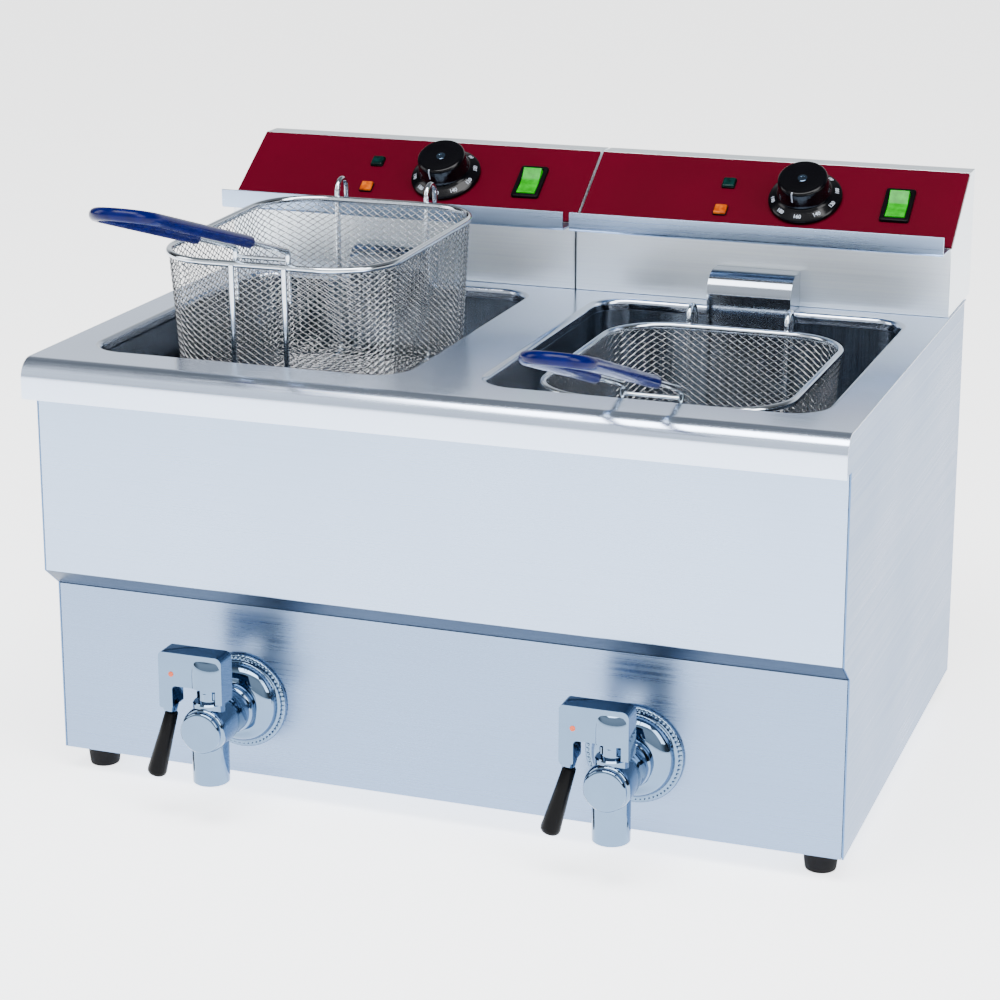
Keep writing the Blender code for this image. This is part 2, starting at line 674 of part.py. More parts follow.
def make_control_panel(finishes, face, side):
    """Sloping control panel with holes for the shaft, the lamps and the switch."""
    sheet = block((-PANEL_HALF, 0.0, -PANEL_SHEET), (PANEL_HALF, PANEL_LENGTH, 0.0))
    panel = piece("control_panel_" + side, sheet, finishes["crimson"], face)
    deep = 2.0 * PANEL_SHEET
    shaft = prism(circle(4.2 * MM, 20, (KNOB_X, KNOB_S)), "Z", -deep, deep)
    tool(panel, "shaft_hole_" + side, shaft, "DIFFERENCE")
    room = LAMP_STEM_HALF + GAP
    for name, s in (("power", POWER_LAMP_S), ("heating", HEATING_LAMP_S)):
        hole = block((LAMP_X - room, s - room, -deep), (LAMP_X + room, s + room, deep))
        tool(panel, name + "_hole_" + side, hole, "DIFFERENCE")
    wide = HOUSING_HALF_X + GAP
    tall = HOUSING_HALF_S + GAP
    hole = block((SWITCH_X - wide, SWITCH_S - tall, -deep),
                 (SWITCH_X + wide, SWITCH_S + tall, deep))
    tool(panel, "switch_hole_" + side, hole, "DIFFERENCE")


def make_lamps(finishes, face, side):
    """Power lamp above, heating lamp below: a square lens on a stem."""
    stem = LAMP_STEM_HALF
    for name, s, colour in (("power_lamp_", POWER_LAMP_S, "lamp_green"),
                            ("heating_lamp_", HEATING_LAMP_S, "lamp_orange")):
        lens = soften(block((-LAMP_HALF, -LAMP_HALF, GAP), (LAMP_HALF, LAMP_HALF, 3.0 * MM)),
                      0.7 * MM)
        lamp = piece(name + side, lens, finishes[colour], face, (LAMP_X, s, 0.0))
        shank = block((-stem, -stem, -12.0 * MM), (stem, stem, 1.5 * MM))
        tool(lamp, name + "stem_" + side, shank, "UNION")


def make_switch(finishes, face, side):
    """Lit rocker switch: a framed housing, and the rocker that tips in its pocket."""
    bezel = soften(block((-BEZEL_HALF_X, -BEZEL_HALF_S, GAP),
                         (BEZEL_HALF_X, BEZEL_HALF_S, 2.8 * MM)), 0.8 * MM)
    frame = piece("switch_frame_" + side, bezel, finishes["black"], face,
                  (SWITCH_X, SWITCH_S, 0.0))
    housing = block((-HOUSING_HALF_X, -HOUSING_HALF_S, -20.0 * MM),
                    (HOUSING_HALF_X, HOUSING_HALF_S, MM))
    tool(frame, "housing_" + side, housing, "UNION")
    pocket = block((-POCKET_HALF_X, -POCKET_HALF_S, -POCKET_DEPTH),
                   (POCKET_HALF_X, POCKET_HALF_S, POCKET_DEPTH))
    tool(frame, "pocket_" + side, pocket, "DIFFERENCE")
    wide = POCKET_HALF_X - 0.4 * MM
    outline = [(-12.9 * MM, -3.5 * MM), (12.9 * MM, -3.5 * MM), (12.4 * MM, 6.2 * MM),
               (0.0, 3.6 * MM), (-12.4 * MM, 6.2 * MM)]
    piece("switch_rocker_" + side, prism(outline, "X", -wide, wide), finishes["green"],
          face, (SWITCH_X, SWITCH_S, -1.5 * MM), ROCKER_TILT)


def make_thermostat(finishes, face, side):
    """Thermostat behind the panel, and the numbered knob on its shaft."""
    under = -(PANEL_SHEET + GAP)
    body = soften(block((-19.0 * MM, -17.0 * MM, under - 24.0 * MM),
                        (19.0 * MM, 17.0 * MM, under)), 1.5 * MM)
    thermostat = piece("thermostat_" + side, body, finishes["brass"], face,
                       (KNOB_X, KNOB_S, 0.0))
    shaft = turned([(0.0, -10.0 * MM), (SHAFT_RADIUS, -10.0 * MM),
                    (SHAFT_RADIUS, 13.0 * MM), (0.0, 13.0 * MM)], 16)
    tool(thermostat, "shaft_" + side, shaft, "UNION")
    foot = 0.6 * MM
    bore = SHAFT_RADIUS + GAP
    profile = [(0.0, 14.0 * MM), (bore, 14.0 * MM), (bore, foot), (SKIRT_RADIUS, foot),
               (SKIRT_RADIUS, 3.2 * MM), (SKIRT_RADIUS - 1.2 * MM, 4.6 * MM),
               (KNOB_RADIUS + 1.6 * MM, 7.2 * MM), (KNOB_RADIUS, 9.0 * MM),
               (KNOB_RADIUS - 0.6 * MM, KNOB_HEIGHT - 1.6 * MM),
               (KNOB_RADIUS - 2.4 * MM, KNOB_HEIGHT), (0.0, KNOB_HEIGHT)]
    piece("thermostat_knob_" + side, turned(profile, 28), finishes["black"], face,
          (KNOB_X, KNOB_S, 0.0))


def make_basket_rail(finishes, unit, side):
    """Shelf with an upturned lip, in which the hooks of a lifted basket stand."""
    line = [(RAIL_FRONT, RAIL_TOP), (RAIL_FRONT, RAIL_BOTTOM),
            (HEAD_FRONT - GAP, RAIL_BOTTOM)]
    piece("basket_rail_" + side, prism(band(line, RAIL_SHEET), "X", -RAIL_HALF, RAIL_HALF),
          finishes["steel"], unit)


def make_element_guard(finishes, unit, side):
    """Bent sheet hood over the element's risers, from the head down into the tank."""
    plate = PLATE_TOP + GAP
    rear = HEAD_FRONT - GAP

    def crown(inset, back):
        bend = arc((GUARD_FRONT + GUARD_BEND, GUARD_TOP - GUARD_BEND), GUARD_BEND - inset,
                   180.0, 90.0, 6)
        return [*bend, (back, GUARD_TOP - inset), (back, plate)]

    outline = [(GUARD_FRONT, GUARD_FOOT), *crown(0.0, rear), (GUARD_BACK, plate),
               (GUARD_BACK, GUARD_FOOT)]
    guard = piece("element_guard_" + side, prism(outline, "X", -GUARD_HALF, GUARD_HALF),
                  finishes["chrome"], unit)
    inner = GUARD_HALF - GUARD_SHEET
    behind = GUARD_FRONT + GUARD_SHEET
    margin = 5.0 * MM
    lower = block((-inner, behind, GUARD_FOOT - margin),
                  (inner, rear + margin, GUARD_TOP - GUARD_BEND))
    tool(guard, "guard_back_" + side, lower, "DIFFERENCE")
    upper = prism([*crown(GUARD_SHEET, rear + margin), (behind, plate)], "X", -inner, inner)
    tool(guard, "guard_crown_" + side, upper, "DIFFERENCE")


def element_height():
    """Return the height of the element's tube, just under the basket that sits on it."""
    basket_floor = RIGHT_TIPS[1] + RIM_ABOVE_TIPS - BASKET_HEIGHT
    under_wires = basket_floor - MESH_WALL / 2.0 - GAP - 2.0 * FRAME_WIRE
    return under_wires - 2.0 * GAP - ELEMENT_RADIUS


def make_heating_element(finishes, unit, side):
    """Tubular element: two risers behind the guard and six runs under the basket."""
    z = element_height()
    riser_y = (GUARD_FRONT + GUARD_BACK) / 2.0 + 0.5 * MM
    inner, middle, outer = ELEMENT_LANES
    turn_mid = (middle - inner) / 2.0
    entry_z = PLATE_TOP + ELEMENT_ENTRY
    riser = [(inner, HEAD_FRONT - GAP - MM, entry_z), (inner, riser_y, entry_z),
             (inner, riser_y, z), (inner, ELEMENT_LANE_REAR, z)]
    half = round_corners(riser, ELEMENT_BEND, 3)
    for x, y in arc((inner + turn_mid, ELEMENT_LANE_FRONT), turn_mid, 180.0, 360.0, 6):
        half.append(Vector((x, y, z)))
    for x, y in arc((middle + turn_mid, ELEMENT_LANE_REAR), turn_mid, 180.0, 0.0, 6):
        half.append(Vector((x, y, z)))
    corner = ELEMENT_CORNER
    for x, y in arc((outer - corner, ELEMENT_CROSS_Y + corner), corner, 0.0, -90.0, 4):
        half.append(Vector((x, y, z)))
    mirrored = [Vector((-point.x, point.y, point.z)) for point in reversed(half)]
    piece("heating_element_" + side, tube(half + mirrored, ELEMENT_RADIUS, 8),
          finishes["element"], unit)


def make_cable_gland(finishes, unit, side):
    """Cable gland in the casing's rear wall, open where a mains lead would enter."""
    profile = [(GLAND_BORE, -6.0 * MM), (GLAND_RADIUS, -6.0 * MM), (GLAND_RADIUS, GAP),
               (11.0 * MM, GAP), (11.0 * MM, 5.0 * MM), (9.5 * MM, 6.0 * MM),
               (9.5 * MM, 11.0 * MM), (7.5 * MM, 14.0 * MM), (GLAND_BORE, 14.0 * MM)]
    build = turned(profile, 16, closed=True)
    bmesh.ops.transform(build, matrix=Matrix.Rotation(math.radians(-90.0), 4, "X"),
                        verts=build.verts)
    piece("cable_gland_" + side, build, finishes["black"], unit,
          (GLAND_X, HEAD_REAR, GLAND_Z))


def make_head(finishes, unit, side):
    """One lift-out head with everything that is fixed to it."""
    slope = Matrix.Rotation(PANEL_ANGLE, 4, "X")
    face = empty("panel_face_" + side, unit, (0.0, HEAD_FRONT, PANEL_FOOT_Z), PANEL_ANGLE)
    make_casing(finishes, unit, side, slope)
    make_control_panel(finishes, face, side)
    make_lamps(finishes, face, side)
    make_switch(finishes, face, side)
    make_thermostat(finishes, face, side)
    make_basket_rail(finishes, unit, side)
    make_element_guard(finishes, unit, side)
    make_heating_element(finishes, unit, side)
    make_cable_gland(finishes, unit, side)


# ---------------------------------------------------------------- baskets

def basket_back():
    """Return Y of the basket's rear wall, measured from the hook tips."""
    return -(2.0 * HOOK_ARCH + FRAME_WIRE + GAP + MESH_WALL / 2.0)


def make_basket_mesh(finishes, basket, side):
    """Woven tub, as a thin closed shell of its true outer shape, open at the top."""
    back = basket_back()
    front = back - BASKET_DEPTH
    half = BASKET_WIDTH / 2.0
    top = RIM_ABOVE_TIPS - RIM_WIRE - GAP
    floor_z = RIM_ABOVE_TIPS - BASKET_HEIGHT
    fillet = BASKET_FILLET
    chamfer = fillet * (1.0 - math.sqrt(0.5))
    outside = MESH_WALL / 2.0
    build = bmesh.new()
    rings = []
    levels = ((outside, 0.0, top), (outside, BASKET_TAPER, floor_z + fillet),
              (outside - chamfer, BASKET_TAPER, floor_z + chamfer),
              (outside - fillet, BASKET_TAPER, floor_z))
    for wall, floor_lift in ((0.0, 0.0), (MESH_WALL, MESH_WALL)):
        for grow, taper, height in (levels if wall == 0.0 else levels[::-1]):
            spread = grow - wall - taper
            outline = rounded_outline(half + spread, front - spread, back + spread,
                                      BASKET_CORNER + spread)
            lift = floor_lift if height < floor_z + fillet else 0.0
            rings.append([build.verts.new((x, y, height + lift)) for x, y in outline])
    for first, second in zip(rings[:3], rings[1:4]):
        ring_faces(build, first, second)
    for first, second in zip(rings[4:7], rings[5:8]):
        ring_faces(build, first, second)
    ring_faces(build, rings[7], rings[0])
    build.faces.new(rings[3])
    build.faces.new(rings[4])
    piece("basket_mesh_" + side, build, finishes["bright"], basket)


def frame_wire_path(sign):
    """Return one frame wire: front bar, run under the floor, rear rod and hook."""
    back = basket_back()
    front = back - BASKET_DEPTH
    off = MESH_WALL / 2.0 + GAP + FRAME_WIRE
    rim = RIM_ABOVE_TIPS
    floor_z = rim - BASKET_HEIGHT - off - 0.2 * MM
    front_y = front - off
    bar, hook = sign * BAR_X, sign * HOOK_X
    corners = [(bar, front_y, rim), (bar, front_y, floor_z), (hook, -2.0 * HOOK_ARCH, floor_z),
               (hook, -2.0 * HOOK_ARCH, HOOK_SPRING)]
    path = round_corners(corners, 8.0 * MM, 3)[:-1]
    for y, z in arc((-HOOK_ARCH, HOOK_SPRING), HOOK_ARCH, 180.0, 0.0, 8):
        path.append(Vector((hook, y, z)))
    path.append(Vector((hook, 0.0, 0.0)))
    return path


def make_basket_frame(finishes, basket, side):
    """Rim wire with two frame wires that end in the hooks."""
    back = basket_back()
    front = back - BASKET_DEPTH
    outline = rounded_outline(BASKET_WIDTH / 2.0, front, back, BASKET_CORNER)
    rim = tube([(x, y, RIM_ABOVE_TIPS) for x, y in outline], RIM_WIRE, 8, closed=True)
    frame = piece("basket_frame_" + side, rim, finishes["bright"], basket)
    for name, sign in (("a", -1.0), ("b", 1.0)):
        tool(frame, "frame_wire_" + name + "_" + side, tube(frame_wire_path(sign), FRAME_WIRE),
             "UNION")


def handle_points():
    """Return the handle's start at the bend, and its direction away from the basket."""
    inside = basket_back() - BASKET_DEPTH + RIM_WIRE + GAP + FRAME_WIRE
    bend = Vector((0.0, inside, RIM_ABOVE_TIPS + HANDLE_RISE))
    way = Vector((0.0, -math.cos(HANDLE_ANGLE), math.sin(HANDLE_ANGLE)))
    return bend, way


def make_handle(finishes, basket, side):
    """Handle wire with its cross wire, and the dipped loop grip."""
    bend, way = handle_points()
    foot = Vector((0.0, bend.y, RIM_ABOVE_TIPS - HANDLE_FOOT))
    start = bend + way * BARE_LENGTH
    across = Vector((BAR_X, 0.0, 0.0))
    first = round_corners([foot - across, bend - across, start - across], 5.0 * MM, 3)
    wire = piece("handle_wire_" + side, tube(first, FRAME_WIRE), finishes["bright"], basket)
    second = round_corners([foot + across, bend + across, start + across], 5.0 * MM, 3)
    tool(wire, "second_wire_" + side, tube(second, FRAME_WIRE), "UNION")
    low = Vector((0.0, bend.y, RIM_ABOVE_TIPS + RIM_WIRE + 2.0 * GAP + CROSS_WIRE))
    cross = tube([low - across, low + across], CROSS_WIRE)
    tool(wire, "cross_wire_" + side, cross, "UNION")
    grip_start = start + way * GAP
    end = bend + way * (HANDLE_LENGTH - BAR_X - GRIP_RADIUS)
    path = [grip_start - across, end - across]
    for step in range(1, 8):
        angle = math.pi * step / 8
        path.append(end - across * math.cos(angle) + way * (BAR_X * math.sin(angle)))
    path += [end + across, grip_start + across]
    piece("handle_grip_" + side, tube(path, GRIP_RADIUS), finishes["blue"], basket)


def make_basket(finishes, unit, side):
    """One basket: the left hangs on its rail, the right sits in its tank."""
    tips = LEFT_TIPS if side == "left" else RIGHT_TIPS
    tilt = LEFT_TILT if side == "left" else 0.0
    basket = empty("basket_" + side, unit, (0.0, *tips), tilt)
    make_basket_mesh(finishes, basket, side)
    make_basket_frame(finishes, basket, side)
    make_handle(finishes, basket, side)


# ---------------------------------------------------------------- whole fryer

def centre_on_footprint(fryer):
    """Slide the fryer along Y so that the origin is under the middle of its box."""
    bpy.context.view_layer.update()
    graph = bpy.context.evaluated_depsgraph_get()
    reach = []
    for item in bpy.data.objects:
        if item.type == "MESH" and not item.hide_render:
            mesh = item.evaluated_get(graph).to_mesh()
            reach += [(item.matrix_world @ vertex.co).y for vertex in mesh.vertices]
    fryer.location.y = -(min(reach) + max(reach)) / 2.0
    bpy.context.view_layer.update()


def build_fryer():
    """Build the whole fryer."""
    clear_scene()
    finishes = make_finishes()
    fryer = empty("fryer", None, (0.0, 0.0, 0.0))
    make_top_plate(finishes, fryer)
    make_side_panels(finishes, fryer)
    make_front_panels(finishes, fryer)
    make_rear_and_base(finishes, fryer)
    make_feet(finishes, fryer)
    for side, x in zip(SIDES, (-UNIT_X, UNIT_X)):
        unit = empty("unit_" + side, fryer, (x, 0.0, 0.0))
        make_tank(finishes, unit, side)
        make_tap(finishes, unit, side)
        make_head(finishes, unit, side)
        make_basket(finishes, unit, side)
    centre_on_footprint(fryer)


build_fryer()
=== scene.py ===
"""Twin-tank counter-top electric fryer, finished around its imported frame.

Every length is in metres, in the frame's own axes: +X to the right, -Y towards
the person at the fryer, +Z up, feet on Z = 0. Depths are counted from the front
of the top plate's lip, and heights from the counter.
"""

import json
import logging
import math
from dataclasses import dataclass
from enum import Enum
from typing import Any, Callable, Iterable, Optional, Sequence

import bmesh
import bpy
from mathutils import Matrix, Vector

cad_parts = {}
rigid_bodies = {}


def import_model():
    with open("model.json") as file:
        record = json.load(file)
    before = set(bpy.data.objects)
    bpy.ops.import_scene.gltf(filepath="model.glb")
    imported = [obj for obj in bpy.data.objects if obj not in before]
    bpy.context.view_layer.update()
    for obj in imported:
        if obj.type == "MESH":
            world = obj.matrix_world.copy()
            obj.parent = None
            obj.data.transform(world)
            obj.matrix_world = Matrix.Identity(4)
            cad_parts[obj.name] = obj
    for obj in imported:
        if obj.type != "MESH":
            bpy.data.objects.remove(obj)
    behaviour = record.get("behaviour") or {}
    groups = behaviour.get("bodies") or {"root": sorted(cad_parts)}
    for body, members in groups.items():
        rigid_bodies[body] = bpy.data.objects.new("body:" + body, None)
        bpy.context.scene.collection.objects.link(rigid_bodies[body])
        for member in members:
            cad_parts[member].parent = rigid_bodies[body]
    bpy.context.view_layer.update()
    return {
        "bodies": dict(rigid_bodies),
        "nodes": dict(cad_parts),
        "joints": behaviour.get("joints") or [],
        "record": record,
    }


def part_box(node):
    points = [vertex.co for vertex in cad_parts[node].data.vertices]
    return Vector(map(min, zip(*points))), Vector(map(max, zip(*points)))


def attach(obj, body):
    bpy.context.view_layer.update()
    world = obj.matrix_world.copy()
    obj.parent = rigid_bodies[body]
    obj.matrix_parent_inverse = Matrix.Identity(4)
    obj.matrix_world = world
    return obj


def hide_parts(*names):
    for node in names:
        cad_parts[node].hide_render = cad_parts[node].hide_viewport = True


LOG = logging.getLogger("fryer")

Colour = tuple[float, float, float]
Outline = list[tuple[float, float]]
Path = list[Vector]

MM = 0.001
SHEET = 1.2 * MM
GAP = 0.3 * MM
UNIT_X = 145.0 * MM
PANEL_ANGLE = math.radians(33.7)
PLATE_TOP = 317.4 * MM
TINY = 1e-6                       # the least radius of a ring, so that it is never a point
CREASE = 38.0                     # degrees; sharper edges stay sharp
LEFT_HOOKS = (323.3 * MM, 369.5 * MM)      # depth and height of the hooks' tips
RIGHT_HOOKS = (300.3 * MM, 296.0 * MM)
LEFT_TILT = math.radians(1.5)     # the hanging basket's front hangs a little low


class Side(Enum):
    """The two halves of the fryer."""

    LEFT = "left"
    RIGHT = "right"

    @property
    def middle_x(self) -> float:
        """X of the middle of this half."""
        return -UNIT_X if self is Side.LEFT else UNIT_X

    def name(self, stem: str) -> str:
        """Return a piece's or a node's name on this side."""
        return f"{stem}_{self.value}"


class Grain(Enum):
    """Which way the sheet was brushed, as the stretch of its grain pattern."""

    ALONG_X = (4.0, 700.0, 700.0)
    ALONG_Y = (700.0, 4.0, 700.0)
    ALONG_Z = (700.0, 700.0, 4.0)


class Axis(Enum):
    """The axis that an outline is drawn out along."""

    X = "X"
    Y = "Y"
    Z = "Z"


# ------------------------------------------------------------------ finishes

class NodeBench:
    """A material's node tree, with short calls to add and join its nodes."""

    def __init__(self, name: str) -> None:
        """Start a material with an untouched Principled shader."""
        self.material = bpy.data.materials.new(name)
        self.material.use_nodes = True
        self.tree = self.material.node_tree
        self.shader = self.tree.nodes["Principled BSDF"]

    def add(self, kind: str, values: Optional[dict[str, Any]] = None,
            **settings: Any) -> bpy.types.Node:
        """Add a node.

        Args:
            kind: The node's type.
            values: Values for its unlinked sockets, by socket name.
            **settings: Values for the node's own settings.

        Returns:
            The new node.
        """
        node = self.tree.nodes.new(kind)
        for key, value in settings.items():
            setattr(node, key, value)
        for key, value in (values or {}).items():
            node.inputs[key].default_value = value
        return node

    def join(self, source: bpy.types.NodeSocket, target: bpy.types.NodeSocket) -> None:
        """Link two sockets."""
        self.tree.links.new(source, target)

    def places(self, stretch: Sequence[float]) -> bpy.types.NodeSocket:
        """Return the piece's own coordinates, stretched along each axis."""
        coords = self.add("ShaderNodeTexCoord")
        mapping = self.add("ShaderNodeMapping", {"Scale": tuple(stretch)})
        self.join(coords.outputs["Object"], mapping.inputs["Vector"])
        return mapping.outputs["Vector"]

    def noise(self, stretch: Sequence[float], scale: float, detail: float = 2.0,
              roughness: float = 0.5) -> bpy.types.NodeSocket:
        """Add noise in the piece's own coordinates.

        Args:
            stretch: How the pattern is stretched along each axis.
            scale: How many features there are to a metre.
            detail: How many finer layers are added.
            roughness: How strong the finer layers are.

        Returns:
            The noise's value socket.
        """
        node = self.add("ShaderNodeTexNoise",
                        {"Scale": scale, "Detail": detail, "Roughness": roughness})
        self.join(self.places(stretch), node.inputs["Vector"])
        return node.outputs["Fac"]

    def spread(self, value: bpy.types.NodeSocket, low: float,
               high: float) -> bpy.types.NodeSocket:
        """Return a pattern's value moved from its usual range to low..high."""
        node = self.add("ShaderNodeMapRange", {"From Min": 0.3, "From Max": 0.7,
                                               "To Min": low, "To Max": high})
        self.join(value, node.inputs["Value"])
        return node.outputs["Result"]

    def total(self, first: bpy.types.NodeSocket,
              second: bpy.types.NodeSocket) -> bpy.types.NodeSocket:
        """Return the sum of two values."""
        node = self.add("ShaderNodeMath", operation="ADD")
        self.join(first, node.inputs[0])
        self.join(second, node.inputs[1])
        return node.outputs["Value"]

    def ramp(self, value: bpy.types.NodeSocket,
             stops: Sequence[tuple[float, Colour]]) -> bpy.types.NodeSocket:
        """Turn a value into a colour.

        Args:
            value: The value from 0 to 1.
            stops: Places on the ramp and their colours, in order.

        Returns:
            The colour socket.
        """
        node = self.add("ShaderNodeValToRGB")
        marks = node.color_ramp.elements
        while len(marks) < len(stops):
            marks.new(0.5)
        for mark, (place, colour) in zip(marks, stops):
            mark.position = place
            mark.color = (*colour, 1.0)
        self.join(value, node.inputs["Fac"])
        return node.outputs["Color"]

    def dent(self, height: bpy.types.NodeSocket, strength: float, distance: float) -> None:
        """Roughen the shader's surface by a height pattern."""
        node = self.add("ShaderNodeBump", {"Strength": strength, "Distance": distance})
        self.join(height, node.inputs["Height"])
        self.join(node.outputs["Normal"], self.shader.inputs["Normal"])

    def set(self, **values: float) -> None:
        """Set uniform values on the shader's own sockets; a _ stands for a space."""
        for key, value in values.items():
            self.shader.inputs[key.replace("_", " ")].default_value = value

    def colour(self, socket: bpy.types.NodeSocket) -> None:
        """Drive the shader's base colour."""
        self.join(socket, self.shader.inputs["Base Color"])

    def roughness(self, socket: bpy.types.NodeSocket) -> None:
        """Drive the shader's roughness."""
        self.join(socket, self.shader.inputs["Roughness"])


def scaled(colour: Colour, factor: float) -> Colour:
    """Return a colour made lighter or darker."""
    return tuple(min(1.0, part * factor) for part in colour)


@dataclass(frozen=True)
class BrushedSteel:
    """Stainless sheet with a fine grain that runs one way."""

    name: str
    tint: Colour
    roughness: float
    grain: Grain

    def make(self) -> bpy.types.Material:
        """Return the material."""
        bench = NodeBench(self.name)
        streak = bench.noise(self.grain.value, 1.0, 4.0, 0.65)
        cloud = bench.noise((1.0, 1.0, 1.0), 7.0, 3.0)
        bench.colour(bench.ramp(streak, ((0.3, scaled(self.tint, 0.95)),
                                         (0.5, self.tint), (0.7, scaled(self.tint, 1.04)))))
        fine = bench.spread(streak, self.roughness - 0.05, self.roughness + 0.05)
        bench.roughness(bench.total(fine, bench.spread(cloud, -0.03, 0.03)))
        bench.set(Metallic=1.0)
        bench.dent(streak, 0.06, 0.1 * MM)
        return bench.material


@dataclass(frozen=True)
class PolishedMetal:
    """Bright metal with faint ripples and hand marks."""

    name: str
    tint: Colour
    roughness: float
    ripple: float = 0.04

    def make(self) -> bpy.types.Material:
        """Return the material."""
        bench = NodeBench(self.name)
        cloud = bench.noise((1.0, 1.0, 1.0), 60.0, 3.0)
        marks = bench.noise((1.0, 1.0, 1.0), 900.0, 2.0)
        bench.colour(bench.ramp(cloud, ((0.3, scaled(self.tint, 0.95)), (0.7, self.tint))))
        bench.roughness(bench.spread(marks, self.roughness * 0.7, self.roughness * 1.4))
        bench.set(Metallic=1.0)
        bench.dent(cloud, self.ripple, 0.4 * MM)
        return bench.material


@dataclass(frozen=True)
class HeatTintedTube:
    """Dull alloy tube that has been browned and blued by heat."""

    name: str
    cool: Colour
    hot: Colour

    def make(self) -> bpy.types.Material:
        """Return the material."""
        bench = NodeBench(self.name)
        cloud = bench.noise((1.0, 1.0, 1.0), 24.0, 4.0)
        scale = bench.noise((1.0, 1.0, 1.0), 1400.0, 2.0)
        bench.colour(bench.ramp(cloud, ((0.35, self.cool), (0.65, self.hot))))
        bench.roughness(bench.spread(scale, 0.34, 0.5))
        bench.set(Metallic=1.0)
        bench.dent(scale, 0.15, 0.05 * MM)
        return bench.material


@dataclass(frozen=True)
class PrintedPanel:
    """Satin film with a fine speckle and a slightly uneven ink."""

    name: str
    ink: Colour

    def make(self) -> bpy.types.Material:
        """Return the material."""
        bench = NodeBench(self.name)
        speck = bench.noise((1.0, 1.0, 1.0), 2200.0, 2.0)
        cloud = bench.noise((1.0, 1.0, 1.0), 14.0, 3.0)
        mixed = bench.total(bench.spread(speck, 0.2, 0.5), bench.spread(cloud, 0.1, 0.4))
        bench.colour(bench.ramp(mixed, ((0.3, scaled(self.ink, 0.86)),
                                        (0.9, scaled(self.ink, 1.12)))))
        bench.roughness(bench.spread(speck, 0.36, 0.46))
        bench.set(Specular_IOR_Level=0.06)
        bench.dent(speck, 0.12, 0.03 * MM)
        return bench.material


@dataclass(frozen=True)
class MouldedPlastic:
    """Moulded plastic or rubber with a fine skin and worn, uneven gloss."""

    name: str
    base: Colour
    roughness: float
    skin: float = 0.1
    gloss: float = 0.3

    def make(self) -> bpy.types.Material:
        """Return the material."""
        bench = NodeBench(self.name)
        skin = bench.noise((1.0, 1.0, 1.0), 1800.0, 3.0)
        cloud = bench.noise((1.0, 1.0, 1.0), 45.0, 3.0)
        bench.colour(bench.ramp(cloud, ((0.3, scaled(self.base, 0.8)),
                                        (0.7, scaled(self.base, 1.2)))))
        bench.roughness(bench.spread(cloud, self.roughness * 0.85, self.roughness * 1.15))
        bench.set(Specular_IOR_Level=self.gloss)
        bench.dent(skin, self.skin, 0.05 * MM)
        return bench.material


@dataclass(frozen=True)
class DippedVinyl:
    """Thick glossy coating whose surface sags a little where it ran."""

    name: str
    base: Colour

    def make(self) -> bpy.types.Material:
        """Return the material."""
        bench = NodeBench(self.name)
        sag = bench.noise((1.0, 0.35, 1.0), 160.0, 2.0)
        bench.colour(bench.ramp(sag, ((0.3, scaled(self.base, 0.8)),
                                      (0.7, scaled(self.base, 1.25)))))
        bench.roughness(bench.spread(sag, 0.16, 0.26))
        bench.set(Specular_IOR_Level=0.12, Coat_Weight=0.02, Coat_Roughness=0.08)
        bench.dent(sag, 0.12, 0.5 * MM)
        return bench.material


@dataclass(frozen=True)
class LampLens:
    """Tinted plastic lens that glows by its own strength."""

    name: str
    dark: Colour
    light: Colour
    glow: float

    def make(self) -> bpy.types.Material:
        """Return the material."""
        bench = NodeBench(self.name)
        depth = bench.noise((1.0, 1.0, 1.0), 190.0, 2.0)
        tint = bench.ramp(depth, ((0.35, self.dark), (0.65, self.light)))
        bench.colour(tint)
        bench.join(tint, bench.shader.inputs["Emission Color"])
        bench.roughness(bench.spread(depth, 0.14, 0.22))
        bench.set(Emission_Strength=self.glow, Specular_IOR_Level=0.15)
        bench.dent(depth, 0.05, 0.2 * MM)
        return bench.material


